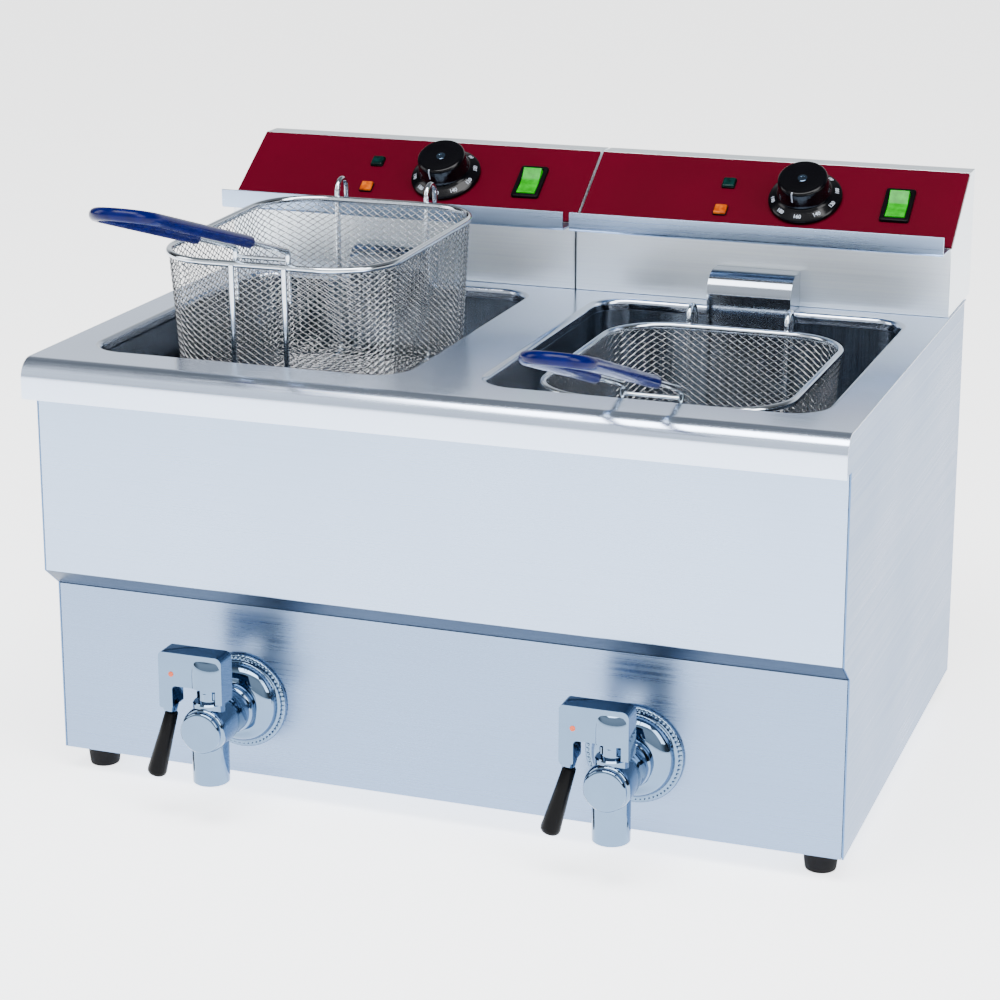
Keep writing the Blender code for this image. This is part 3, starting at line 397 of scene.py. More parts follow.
@dataclass(frozen=True)
class Palette:
    """Every material that the fryer uses."""

    steel_x: bpy.types.Material
    steel_y: bpy.types.Material
    steel_top: bpy.types.Material
    steel_low: bpy.types.Material
    steel_head: bpy.types.Material
    fold: bpy.types.Material
    rim: bpy.types.Material
    tank: bpy.types.Material
    chrome: bpy.types.Material
    guard: bpy.types.Material
    wire: bpy.types.Material
    bar: bpy.types.Material
    crimson: bpy.types.Material
    black: bpy.types.Material
    knob: bpy.types.Material
    print_white: bpy.types.Material
    rubber: bpy.types.Material
    vinyl: bpy.types.Material
    rocker: bpy.types.Material
    green_lens: bpy.types.Material
    orange_lens: bpy.types.Material
    red_dot: bpy.types.Material
    brass: bpy.types.Material
    element: bpy.types.Material
    ceramic: bpy.types.Material

    @classmethod
    def mix(cls) -> "Palette":
        """Return the palette with every material made."""
        return cls(
            steel_x=BrushedSteel("steel_brushed_across", (0.36, 0.47, 0.65), 0.30,
                                 Grain.ALONG_X).make(),
            # A darker copy of the front steel: painted shade on the lower front panel.
            steel_low=BrushedSteel("steel_brushed_low", (0.20, 0.28, 0.42), 0.28,
                                   Grain.ALONG_X).make(),
            # A far lighter copy of the steel: painted light on the head casings.
            steel_head=BrushedSteel("steel_brushed_head", (0.88, 0.94, 1.0), 0.36,
                                    Grain.ALONG_X).make(),
            # A much darker copy of the steel, brushed front to back: painted shade on the side
            # panels.
            steel_y=BrushedSteel("steel_brushed_deep", (0.10, 0.18, 0.33), 0.32,
                                 Grain.ALONG_Y).make(),
            # A lighter copy of the steel: painted light on the top plate.
            steel_top=BrushedSteel("steel_plate", (0.62, 0.72, 0.90), 0.2,
                                   Grain.ALONG_X).make(),
            # Near-black steel for the step's down-facing fold: painted shade, not a finish of
            # its own.
            fold=BrushedSteel("steel_fold_shaded", (0.045, 0.07, 0.115), 0.34,
                              Grain.ALONG_X).make(),
            rim=PolishedMetal("steel_polished_rim", (0.52, 0.58, 0.68), 0.12).make(),
            # A darker copy of the steel: painted shade inside the deep tanks; the drain elbows
            # share it.
            tank=BrushedSteel("steel_drawn_tank", (0.26, 0.31, 0.38), 0.2,
                              Grain.ALONG_Z).make(),
            chrome=PolishedMetal("chrome_plate", (0.13, 0.20, 0.30), 0.05).make(),
            guard=PolishedMetal("steel_polished_guard", (0.34, 0.38, 0.44), 0.1).make(),
            wire=PolishedMetal("wire_woven", (0.40, 0.41, 0.43), 0.16, 0.02).make(),
            bar=PolishedMetal("wire_drawn", (0.62, 0.68, 0.75), 0.12, 0.02).make(),
            crimson=PrintedPanel("panel_crimson", (0.062, 0.0001, 0.0062)).make(),
            black=MouldedPlastic("plastic_black", (0.002, 0.002, 0.0025), 0.34,
                                 gloss=0.06).make(),
            knob=MouldedPlastic("plastic_knob_gloss", (0.0012, 0.0012, 0.002), 0.14, 0.03,
                                0.16).make(),
            print_white=MouldedPlastic("print_white", (0.36, 0.40, 0.47), 0.4).make(),
            rubber=MouldedPlastic("rubber_foot", (0.006, 0.006, 0.007), 0.7, 0.3,
                                  0.1).make(),
            vinyl=DippedVinyl("vinyl_navy", (0.0002, 0.0018, 0.05)).make(),
            rocker=LampLens("lens_rocker_green", (0.0005, 0.16, 0.001),
                            (0.0005, 0.26, 0.003), 0.7).make(),
            green_lens=LampLens("lens_lamp_green", (0.0005, 0.006, 0.005),
                                (0.001, 0.018, 0.016), 0.0).make(),
            orange_lens=LampLens("lens_lamp_orange", (0.22, 0.028, 0.0005),
                                 (0.45, 0.085, 0.001), 0.25).make(),
            red_dot=MouldedPlastic("enamel_dot", (0.55, 0.08, 0.03), 0.3).make(),
            brass=PolishedMetal("brass_nut", (0.75, 0.6, 0.3), 0.3).make(),
            element=HeatTintedTube("tube_heat_tinted", (0.16, 0.155, 0.16),
                                   (0.28, 0.24, 0.21)).make(),
            ceramic=MouldedPlastic("body_thermostat", (0.6, 0.57, 0.5), 0.5).make(),
        )


# ------------------------------------------------------------------ shapes

def arc(centre: tuple[float, float], radius: float, start: float, end: float,
        steps: int) -> Outline:
    """Return points on an arc, both ends included; angles are in degrees."""
    turns = [math.radians(start + (end - start) * step / steps) for step in range(steps + 1)]
    return [(centre[0] + radius * math.cos(turn), centre[1] + radius * math.sin(turn))
            for turn in turns]


def full_turn(count: int) -> list[float]:
    """Return equal steps of a full turn, in radians, without its end."""
    return [2.0 * math.pi * step / count for step in range(count)]


def quarter_turn(steps: int) -> list[float]:
    """Return equal steps of a quarter turn, in radians, both ends included."""
    return [math.pi / 2.0 * step / steps for step in range(steps + 1)]


def in_mm(*places: tuple[float, float]) -> Outline:
    """Return points that are given in millimetres."""
    return [(first * MM, second * MM) for first, second in places]


def rounded_outline(half_x: float, low_y: float, high_y: float, radius: float,
                    steps: int = 12) -> Outline:
    """Return a rectangle with round corners.

    Args:
        half_x: Half its width.
        low_y: Its lower edge.
        high_y: Its upper edge.
        radius: Its corner radius.
        steps: Steps round each corner.

    Returns:
        Its points, anticlockwise.
    """
    outline: Outline = []
    for x, y, start in ((half_x - radius, low_y + radius, -90.0),
                        (half_x - radius, high_y - radius, 0.0),
                        (-half_x + radius, high_y - radius, 90.0),
                        (-half_x + radius, low_y + radius, 180.0)):
        outline += arc((x, y), radius, start, start + 90.0, steps)
    return outline


def ease_corners(corners: Sequence[Sequence[float]], radius: float,
                 steps: int = 6) -> Path:
    """Round the inner corners of a path.

    Args:
        corners: The path's corners, in two or three dimensions.
        radius: The bend radius.
        steps: Steps round each bend.

    Returns:
        The path's points.
    """
    points = [Vector((*corner, 0.0)) if len(corner) == 2 else Vector(corner)
              for corner in corners]
    path = [points[0]]
    for before, here, after in zip(points, points[1:], points[2:]):
        back, ahead = (before - here).normalized(), (after - here).normalized()
        half = back.angle(ahead) / 2.0
        centre = here + (back + ahead).normalized() * (radius / math.sin(half))
        reach = radius / math.tan(half)
        start = (here + back * reach - centre).normalized()
        end = (here + ahead * reach - centre).normalized()
        path += [centre + start.slerp(end, step / steps) * radius
                 for step in range(steps + 1)]
    path.append(points[-1])
    return path


def eased_line(corners: Sequence[tuple[float, float]], radius: float,
               steps: int = 6) -> Outline:
    """Return a flat line with its inner corners rounded."""
    return [(point.x, point.y) for point in ease_corners(corners, radius, steps)]


def sheet_outline(line: Outline, thickness: float) -> Outline:
    """Return the closed outline of a sheet that follows a line, laid on its left."""
    inner: Outline = []
    for index, place in enumerate(line):
        here = Vector(place)
        before = Vector(line[max(index - 1, 0)])
        after = Vector(line[min(index + 1, len(line) - 1)])
        ways = [way.normalized() for way in (here - before, after - here) if way.length]
        normals = [Vector((-way.y, way.x)) for way in ways]
        middle = sum(normals, Vector((0.0, 0.0))).normalized()
        inner.append(tuple(here + middle * (thickness / middle.dot(normals[0]))))
    return list(line) + inner[::-1]


class Shape:
    """The points and faces of one piece, gathered shell by shell."""

    def __init__(self) -> None:
        """Start with nothing."""
        self.points: list[Vector] = []
        self.faces: list[tuple[int, ...]] = []

    def loft(self, rings: Sequence[Sequence[Vector]], closed: bool = False,
             caps: bool = True) -> "Shape":
        """Join rings of points with faces.

        Args:
            rings: Rings with the same number of points.
            closed: Whether the last ring joins the first.
            caps: Whether the end rings are closed with faces.

        Returns:
            This shape.
        """
        count = len(rings[0])
        starts = []
        for ring in rings:
            starts.append(len(self.points))
            self.points += ring
        pairs = list(zip(starts, starts[1:]))
        if closed:
            pairs.append((starts[-1], starts[0]))
        for first, second in pairs:
            for index in range(count):
                after = (index + 1) % count
                self.faces.append((first + index, first + after, second + after,
                                   second + index))
        if caps and not closed:
            self.faces.append(tuple(range(starts[0], starts[0] + count)))
            self.faces.append(tuple(range(starts[-1], starts[-1] + count)))
        return self

    def lathe(self, profile: Outline, count: int, place: Matrix = Matrix.Identity(4),
              closed: bool = False) -> "Shape":
        """Turn a profile about Z.

        Args:
            profile: (radius, height) points; the ends may lie on the axis.
            count: Steps round the axis.
            place: Where the turned shape goes.
            closed: Whether the profile is a closed loop.

        Returns:
            This shape.
        """
        return self.rippled([(*point, 0.0) for point in profile], count, place,
                            lambda radius, height, _, turn: (radius, height), closed)

    def rippled(self, profile: Iterable[Sequence[float]], count: int, place: Matrix,
                ripple: Callable[..., tuple[float, float]],
                closed: bool = False) -> "Shape":
        """Turn a profile about Z while its radius and height ripple.

        Args:
            profile: Points, each with a radius, a height and the strength of its ripple.
            count: Steps round the axis.
            place: Where the turned shape goes.
            ripple: Gives the radius and height of a point at an angle.
            closed: Whether the profile is a closed loop.

        Returns:
            This shape.
        """
        rings = []
        for point in profile:
            ring = []
            for turn in full_turn(count):
                radius, height = ripple(*point, turn)
                ring.append(place @ Vector((max(radius, TINY) * math.cos(turn),
                                            max(radius, TINY) * math.sin(turn), height)))
            rings.append(ring)
        return self.loft(rings, closed)

    def tube(self, path: Sequence[Vector], radius: float, count: int = 12,
             closed: bool = False, radii: Optional[Sequence[float]] = None) -> "Shape":
        """Run a round wire along a path.

        Args:
            path: The wire's middle line.
            radius: Its radius.
            count: Steps round the wire.
            closed: Whether the path is a loop.
            radii: A radius at each point, in place of the one radius.

        Returns:
            This shape.
        """
        total = len(path)
        side: Optional[Vector] = None
        rings = []
        round_points = [(math.cos(turn), math.sin(turn)) for turn in full_turn(count)]
        for index, here in enumerate(path):
            before = path[index - 1] if closed or index else here
            after = path[(index + 1) % total] if closed or index < total - 1 else here
            along = (after - before).normalized()
            if side is None:
                side = along.orthogonal().normalized()
            side = (side - along * side.dot(along)).normalized()
            other = along.cross(side)
            size = radii[index] if radii else radius
            rings.append([here + (side * x + other * y) * size for x, y in round_points])
        return self.loft(rings, closed)

    def prism(self, outline: Outline, axis: Axis, low: float, high: float,
              place: Matrix = Matrix.Identity(4)) -> "Shape":
        """Draw an outline out along an axis.

        Args:
            outline: Its points, in the two other axes in order.
            axis: The axis it is drawn out along.
            low: Where it starts.
            high: Where it ends.
            place: Where the prism goes.

        Returns:
            This shape.
        """
        def at(a: float, b: float, along: float) -> Vector:
            """Return an outline point at a distance along the axis."""
            order = {Axis.X: (along, a, b), Axis.Y: (a, along, b), Axis.Z: (a, b, along)}
            return place @ Vector(order[axis])

        return self.loft([[at(a, b, along) for a, b in outline] for along in (low, high)])

    def cushion(self, half_x: float, half_y: float, radius: float, low: float, high: float,
                edge: float, place: Matrix) -> "Shape":
        """Add a flat block with round corners and a rounded upper edge.

        Args:
            half_x: Half its width.
            half_y: Half its length.
            radius: Its corner radius.
            low: Its underside.
            high: Its top.
            edge: The radius of the upper edge.
            place: Where the block goes.

        Returns:
            This shape.
        """
        rings = []
        levels = [(0.0, low)] + [(edge * (1.0 - math.cos(turn)),
                                  high - edge * (1.0 - math.sin(turn)))
                                 for turn in quarter_turn(4)]
        for inset, height in levels:
            outline = rounded_outline(half_x - inset, -half_y + inset, half_y - inset,
                                      max(radius - inset, 0.05 * MM), 5)
            rings.append([place @ Vector((x, y, height)) for x, y in outline])
        return self.loft(rings)

    def gather(self, points: Sequence[Vector], faces: Iterable[Sequence[int]]) -> None:
        """Add another shell's points and faces."""
        offset = len(self.points)
        self.points += points
        self.faces += [tuple(offset + corner for corner in face) for face in faces]

    def piece(self, name: str, material: bpy.types.Material, body: str, *, edge: float = 0.0,
              slot: str = "", stands_for: Sequence[str] = (),
              crease: float = CREASE) -> bpy.types.Object:
        """Make the object and hand it to its body.

        Args:
            name: The object's name.
            material: Its finish.
            body: The body it rides on.
            edge: Bevel width on its sharp edges, or 0.
            slot: The record's slot of its finish; not used.
            stands_for: The CAD nodes that it replaces.
            crease: Edges sharper than this many degrees stay sharp.

        Returns:
            The new object.
        """
        mesh = bpy.data.meshes.new(name)
        mesh.from_pydata(self.points, [], self.faces)
        build = bmesh.new()
        build.from_mesh(mesh)
        bmesh.ops.remove_doubles(build, verts=build.verts, dist=1e-5)
        bmesh.ops.recalc_face_normals(build, faces=build.faces)
        build.to_mesh(mesh)
        build.free()
        mesh.materials.append(material)
        mesh.shade_smooth()
        mesh.set_sharp_from_angle(angle=math.radians(crease))
        item = bpy.data.objects.new(name, mesh)
        bpy.context.scene.collection.objects.link(item)
        if edge:
            bevel = item.modifiers.new("edge", "BEVEL")
            bevel.width = edge
            bevel.segments = 3
            bevel.limit_method = "ANGLE"
            bevel.angle_limit = math.radians(crease)
            bevel.harden_normals = True
        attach(item, body)
        if stands_for:
            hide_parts(*stands_for)
        return item


def dress(name: str, material: bpy.types.Material, frame: dict[str, Any]) -> None:
    """Give a CAD node its finish."""
    node = frame["nodes"][name]
    for holder in node.material_slots:
        holder.material = material


def level_ring(build: bmesh.types.BMesh, outline: Outline,
               height: float) -> list[bmesh.types.BMVert]:
    """Return a level ring of new points, joined by edges."""
    ring = [build.verts.new((x, y, height)) for x, y in outline]
    for index, vert in enumerate(ring):
        build.edges.new((vert, ring[(index + 1) % len(ring)]))
    return ring


def sew(build: bmesh.types.BMesh, ring: list[bmesh.types.BMVert],
        levels: Iterable[tuple[Outline, float]], material: int = 0) -> None:
    """Carry a sheet on from a ring through further rings.

    Args:
        build: The sheet so far.
        ring: The ring to start from.
        levels: The outline and the height of each further ring.
        material: The number of the new faces' material.
    """
    for outline, height in levels:
        onward = [build.verts.new((x, y, height)) for x, y in outline]
        for index in range(len(ring)):
            after = (index + 1) % len(ring)
            face = build.faces.new((ring[index], ring[after], onward[after], onward[index]))
            face.material_index = material
        ring = onward


def fill(build: bmesh.types.BMesh) -> None:
    """Fill the flat area between the rings made so far."""
    bmesh.ops.triangle_fill(build, use_beauty=True, use_dissolve=False,
                            edges=build.edges[:])


def pressed_sheet(build: bmesh.types.BMesh, name: str, materials: Sequence[bpy.types.Material],
                  thickness: float, even: bool) -> bpy.types.Object:
    """Make the object of a sheet, with its faces up and its thickness below them.

    Args:
        build: The sheet's faces; freed here.
        name: The object's name.
        materials: Its finishes, in the order of the faces' numbers.
        thickness: The sheet's thickness.
        even: Whether the thickness is kept even round bends.

    Returns:
        The new object.
    """
    bmesh.ops.recalc_face_normals(build, faces=build.faces)
    level = max(build.faces, key=lambda face: abs(face.normal.z) * face.calc_area())
    if level.normal.z < 0.0:
        bmesh.ops.reverse_faces(build, faces=build.faces[:])
    mesh = bpy.data.meshes.new(name)
    build.to_mesh(mesh)
    build.free()
    for material in materials:
        mesh.materials.append(material)
    mesh.shade_smooth()
    item = bpy.data.objects.new(name, mesh)
    bpy.context.scene.collection.objects.link(item)
    sheet = item.modifiers.new("sheet", "SOLIDIFY")
    sheet.thickness = thickness
    sheet.offset = -1.0
    sheet.use_even_offset = even
    shading = item.modifiers.new("shading", "WEIGHTED_NORMAL")
    shading.weight = 100
    return item


@dataclass
class HalfPart:
    """A sub-assembly of one half of the fryer."""

    frame: dict[str, Any]
    palette: Palette
    side: Side

    def add(self, shape: Shape, stem: str, material: bpy.types.Material, body: str, *,
            node: str = "", slot: str = "", edge: float = 0.0,
            crease: float = CREASE) -> bpy.types.Object:
        """Make this half's piece from a shape.

        Args:
            shape: The piece's shape.
            stem: Its name without the side.
            material: Its finish.
            body: The body it rides on.
            node: The CAD node that it replaces, without the side, or nothing.
            slot: The record's slot of its finish; passed to piece, which does not use it.
            edge: Bevel width on its sharp edges, or 0.
            crease: Edges sharper than this many degrees stay sharp.

        Returns:
            The new object.
        """
        stands_for = [self.side.name(node)] if node else []
        return shape.piece(self.side.name(stem), material, body, edge=edge, slot=slot,
                           stands_for=stands_for, crease=crease)


# ------------------------------------------------------------------ cabinet

@dataclass
class Cabinet:
    """Sheet cabinet, top plate with its round lip, both openings, and the feet."""

    frame: dict[str, Any]
    palette: Palette
    lip_y: float
    plate_half: float = 290.0 * MM
    panel_half: float = 289.0 * MM
    lip_radius: float = 13.5 * MM
    lip_bottom: float = 289.6 * MM
    upper_front: float = 18.4 * MM
    lower_front: float = 36.7 * MM
    step_top: float = 159.1 * MM
    step_bottom: float = 144.5 * MM
    step_return: float = 6.0 * MM
    bottom: float = 18.0 * MM
    rear: float = 411.0 * MM
    opening_half: float = 120.5 * MM
    opening_front: float = 42.5 * MM
    opening_rear: float = 328.5 * MM
    opening_radius: float = 29.0 * MM
    rim_depth: float = 4.0 * MM
    collar: float = 4.0 * MM
    tank_bottom: float = 113.0 * MM
    tank_fillet: float = 16.0 * MM
    tank_wall: float = 1.0 * MM
    drain_radius: float = 9.0 * MM
    drain_depth: float = 96.0 * MM

    def y(self, depth: float) -> float:
        """Return Y at a depth behind the lip's front."""
        return self.lip_y + depth

    def rim_levels(self) -> list[tuple[float, float]]:
        """Return (inset, drop) down the rounded rim of an opening."""
        levels = [(self.rim_depth * math.sin(turn), self.rim_depth * (1.0 - math.cos(turn)))
                  for turn in quarter_turn(8)[1:]]
        return levels + [(self.rim_depth, self.rim_depth + self.collar)]

    def opening(self, side: Side, inset: float) -> Outline:
        """Return an opening's outline, drawn in by an inset."""
        outline = rounded_outline(self.opening_half - inset, self.opening_front + inset,
                                  self.opening_rear - inset, self.opening_radius - inset, 16)
        return [(x + side.middle_x, self.y(y)) for x, y in outline]

    def build_plate(self) -> bpy.types.Object:
        """Return the top plate, with its lip and both rounded rims."""
        build = bmesh.new()
        edge = [(-self.plate_half, self.y(self.lip_radius)),
                (self.plate_half, self.y(self.lip_radius)),
                (self.plate_half, self.y(self.rear)), (-self.plate_half, self.y(self.rear))]
        outlines = (edge, *(self.opening(side, 0.0) for side in Side))
        rings = [level_ring(build, outline, PLATE_TOP) for outline in outlines]
        fill(build)
        bend = arc((self.lip_radius, PLATE_TOP - self.lip_radius), self.lip_radius,
                   90.0, 180.0, 16)[1:]
        left, right = rings[0][0], rings[0][1]
        for depth, height in [*bend, (0.0, self.lip_bottom)]:
            lower = [build.verts.new((x, self.y(depth), height))
                     for x in (-self.plate_half, self.plate_half)]
            build.faces.new((left, lower[0], lower[1], right))
            left, right = lower
        for side, rim in zip(Side, rings[1:]):
            sew(build, rim, [(self.opening(side, inset), PLATE_TOP - drop)
                             for inset, drop in self.rim_levels()], material=1)
        item = pressed_sheet(build, "plate_top", (self.palette.steel_top, self.palette.rim),
                             SHEET, even=True)
        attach(item, "cabinet")
        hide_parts("top_plate")
        return item

    def build_sides(self) -> list[bpy.types.Object]:
        """Return the two side panels."""
        inset = SHEET + GAP
        lip = arc((self.lip_radius, PLATE_TOP - self.lip_radius),
                  self.lip_radius - inset, 180.0, 90.0, 12)
        rear = self.rear - SHEET - GAP
        outline = [(self.lower_front, self.bottom), (self.lower_front, self.step_bottom),
                   (self.upper_front, self.step_top), (self.upper_front, self.lip_bottom),
                   (inset, self.lip_bottom), *lip, (rear, PLATE_TOP - inset),
                   (rear, self.bottom)]
        outline = [(self.y(depth), height) for depth, height in outline]
        made = []
        for side, low in ((Side.LEFT, -self.panel_half), (Side.RIGHT, self.panel_half - SHEET)):
            made.append(Shape().prism(outline, Axis.X, low, low + SHEET).piece(
                side.name("panel_side"), self.palette.steel_y, "cabinet", edge=0.3 * MM,
                slot="brushed_steel", stands_for=[side.name("side_panel")]))
        return made

    def build_fronts(self) -> list[bpy.types.Object]:
        """Return the upper front panel with its sloping foot, and the lower panel."""
        reach = self.panel_half - SHEET - GAP
        corners = [(self.y(self.upper_front), PLATE_TOP - SHEET - GAP),
                   (self.y(self.upper_front), self.step_top),
                   (self.y(self.lower_front), self.step_bottom),
                   (self.y(self.lower_front + self.step_return), self.step_bottom)]
        line = eased_line(corners, 1.6 * MM, 5)
        upper = Shape().prism(sheet_outline(line, SHEET), Axis.X, -reach, reach).piece(
            "panel_front_upper", self.palette.steel_x, "cabinet", slot="brushed_steel",
            stands_for=["front_panel_upper"])
        # Faces of the step band that look down and forward take the second, near-black steel:
        # painted shade on the fold.
        upper.data.materials.append(self.palette.fold)
        for face in upper.data.polygons:
            looks_down, looks_ahead = face.normal.z < -0.35, face.normal.y < -0.2
            if looks_down and looks_ahead:
                face.material_index = 1
        top = self.step_bottom - GAP
        front = self.y(self.lower_front)
        lower = Shape().prism([(-reach, self.bottom), (reach, self.bottom), (reach, top),
                               (-reach, top)], Axis.Y, front, front + SHEET)
        return [upper, lower.piece("panel_front_lower", self.palette.steel_low, "cabinet",
                                   edge=0.3 * MM, slot="brushed_steel",
                                   stands_for=["front_panel_lower"])]

    def build_feet(self) -> list[bpy.types.Object]:
        """Return the four tapered rubber feet, each with a ribbed tread."""
        profile = in_mm((0.0, 0.6), (6.6, 0.6), (6.9, 0.0), (9.4, 0.0), (10.3, 0.4),
                        (10.7, 1.3), (11.3, 6.0), (12.1, 14.0), (12.5, 18.0), (12.2, 18.7),
                        (0.0, 18.7))
        made = []
        for row in ("front", "rear"):
            for side in Side:
                node = side.name("foot_" + row)
                low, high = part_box(node)
                middle = (low + high) / 2.0
                place = Matrix.Translation((middle.x, middle.y, 0.0))
                made.append(Shape().lathe(profile, 48, place).piece(
                    side.name("rubber_foot_" + row), self.palette.rubber, "cabinet",
                    slot="black_rubber", stands_for=[node]))
        return made

    def build_tank(self, side: Side) -> bpy.types.Object:
        """Return one deep-drawn tank with its drain hole."""
        bottom, fillet = self.tank_bottom, self.tank_fillet
        drain_y = self.y(self.drain_depth)
        top = PLATE_TOP - self.rim_depth - self.collar - GAP
        build = bmesh.new()
        floor = level_ring(build, self.opening(side, self.rim_depth + fillet), bottom)
        hole = arc((0.0, 0.0), self.drain_radius, 0.0, 360.0, 32)[:-1]
        level_ring(build, [(side.middle_x + x, drain_y + y) for x, y in hole], bottom)
        fill(build)
        levels = [(fillet * (1.0 - math.sin(turn)), bottom + fillet * (1.0 - math.cos(turn)))
                  for turn in quarter_turn(8)[1:]] + [(0.0, top)]
        sew(build, floor, [(self.opening(side, self.rim_depth + inset), height)
                           for inset, height in levels])
        item = pressed_sheet(build, side.name("oil_tank"), (self.palette.tank,),
                             self.tank_wall, even=False)
        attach(item, "cabinet")
        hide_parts(side.name("tank"))
        return item

    def build(self) -> int:
        """Build the cabinet and return how many new pieces it has."""
        made = [self.build_plate(), *self.build_sides(), *self.build_fronts(),
                *self.build_feet(), *(self.build_tank(side) for side in Side)]
        dress("rear_panel", self.palette.steel_x, self.frame)
        dress("base_plate", self.palette.steel_x, self.frame)
        return len(made)


# ------------------------------------------------------------------ drain taps

@dataclass
class DrainTap(HalfPart):
    """Chrome drain tap with its lever, grip and wall flange."""

    beads: int = 62
    bead_rise: float = 0.8
    spout_out: float = 52.5 * MM
    spout_drop: float = 40.5 * MM
    lever_bottom: float = 29.0 * MM
    lever_top: float = 53.0 * MM
    skirt_bottom: float = 19.0 * MM
    boss_x: float = 2.2 * MM
    boss_y: float = -7.0 * MM
    boss_half: float = 11.6 * MM
    boss_bulge: float = 4.6 * MM
    shoulder: float = 13.0 * MM
    arm_x: float = -29.0 * MM
    grip_top: float = 8.0 * MM
    grip_turn: float = math.radians(196.0)

    def __post_init__(self) -> None:
        """Find the tap's place from its flange."""
        low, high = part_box(self.side.name("tap_flange"))
        self.root = Vector(((low.x + high.x) / 2.0, high.y + GAP, (low.z + high.z) / 2.0))
        self.forward = (Matrix.Translation(self.root)
                        @ Matrix.Rotation(math.radians(90.0), 4, "X"))
        self.stem = Matrix.Translation(self.root + Vector((0.0, -self.spout_out, 0.0)))

    def build_flange(self) -> bpy.types.Object:
        """Return the domed wall flange with its beaded edge."""
        dome = [(29.0 * MM - 15.0 * MM * (1.0 - math.cos(turn)),
                 4.8 * MM + 10.2 * MM * math.sin(turn), 0.0) for turn in quarter_turn(12)]
        beaded_edge = [(11.2, 0.3, 0.0), (33.9, 0.3, 0.0), (34.5, 0.9, 0.0), (34.5, 2.4, 0.0),
                       (34.2, 3.0, 0.1), (33.6, 3.4, 0.7), (32.8, 3.6, 1.0),
                       (32.0, 3.7, 0.7), (31.4, 3.8, 0.1), (30.6, 3.9, 0.0),
                       (29.6, 4.2, 0.0)]
        profile = [*((radius * MM, height * MM, bead) for radius, height, bead in beaded_edge),
                   *dome, (11.2 * MM, 15.0 * MM, 0.0)]

        def beaded(radius: float, height: float, bead: float,
                   turn: float) -> tuple[float, float]:
            """Lift the edge into beads."""
            wave = 0.5 + 0.5 * math.cos(self.beads * turn)
            return radius, height + bead * self.bead_rise * MM * wave

        return self.add(
            Shape().rippled(profile, 4 * self.beads, self.forward, beaded, closed=True),
            "flange_beaded", self.palette.chrome, "cabinet", node="tap_flange",
            slot="chrome", crease=50.0)

    def build_body(self) -> bpy.types.Object:
        """Return the valve body: tail, collar, barrel, spout and bonnet."""
        barrel = in_mm((0.0, -24.0), (10.0, -24.0), (10.5, -23.5), (10.5, 15.3), (16.9, 15.3),
                       (17.5, 15.9), (17.5, 20.2), (17.0, 21.4), (15.9, 22.4), (15.3, 25.0),
                       (15.2, 31.0), (15.5, 35.0), (16.1, 39.0), (16.5, 43.0), (16.5, 60.0),
                       (16.2, 62.6), (15.4, 64.6), (14.2, 65.5), (0.0, 65.5))
        low = -self.spout_drop
        spout = [(0.0, -15.0 * MM), (10.4 * MM, -15.0 * MM), (10.4 * MM, low + 0.5 * MM),
                 (10.8 * MM, low), (12.5 * MM, low), (12.9 * MM, low + 0.5 * MM),
                 (12.9 * MM, -4.0 * MM), (11.0 * MM, 0.0), (0.0, 0.0)]
        bonnet = in_mm((0.0, 8.0), (11.4, 8.0), (11.4, 17.6), (10.4, 18.7), (7.6, 18.9),
                       (7.6, 28.7), (0.0, 28.7))
        hexagon = [(8.4 * MM * math.cos(turn), 8.4 * MM * math.sin(turn))
                   for turn in (math.radians(30.0 + 60.0 * step) for step in range(6))]
        shape = Shape().lathe(barrel, 64, self.forward).lathe(spout, 56, self.stem)
        shape.lathe(bonnet, 40, self.stem)
        shape.prism(hexagon, Axis.Z, 21.0 * MM, 25.5 * MM, self.stem)
        return self.add(shape, "tap_valve_body", self.palette.chrome, "cabinet",
                        node="tap_body", slot="chrome")

    def build_cap(self) -> bpy.types.Object:
        """Return the round cap that closes the barrel's front."""
        profile = in_mm((0.0, 65.8), (14.2, 65.8), (14.7, 66.3), (14.8, 67.4), (14.5, 68.6),
                        (13.6, 69.4), (12.3, 69.6), (11.6, 69.35), (0.0, 69.55))
        return self.add(Shape().lathe(profile, 64, self.forward), "tap_end_cap",
                        self.palette.chrome, "cabinet", node="tap_cap", slot="chrome")

    def on_arm(self, height: float) -> Matrix:
        """Return the leaning place at a height on the lever's bent-down arm."""
        return (self.stem @ Matrix.Translation((self.arm_x, 0.0, height))
                @ Matrix.Rotation(self.grip_turn, 4, "Y"))

    def boss_rings(self) -> list[Path]:
        """Return the rings of the round boss, which closes in over its shoulder."""
        low, top = self.lever_bottom + 0.3 * MM, self.lever_top - 2.4 * MM
        bulge = [(self.boss_x + self.boss_half * math.cos(turn),
                  self.boss_y - self.boss_bulge * math.sin(turn))
                 for turn in (math.pi * step / 32 for step in range(33))]
        rings = []
        for step in range(13):
            height = low + (top - low) * step / 12
            near = max(0.0, height - (top - self.shoulder)) / self.shoulder
            bulk = math.sqrt(max(1.0 - near * near, 0.0))
            rings.append([self.stem @ Vector(
                (self.boss_x + (x - self.boss_x) * (0.72 + 0.28 * bulk),
                 self.boss_y + (y - self.boss_y) * bulk, height)) for x, y in bulge])
        return rings

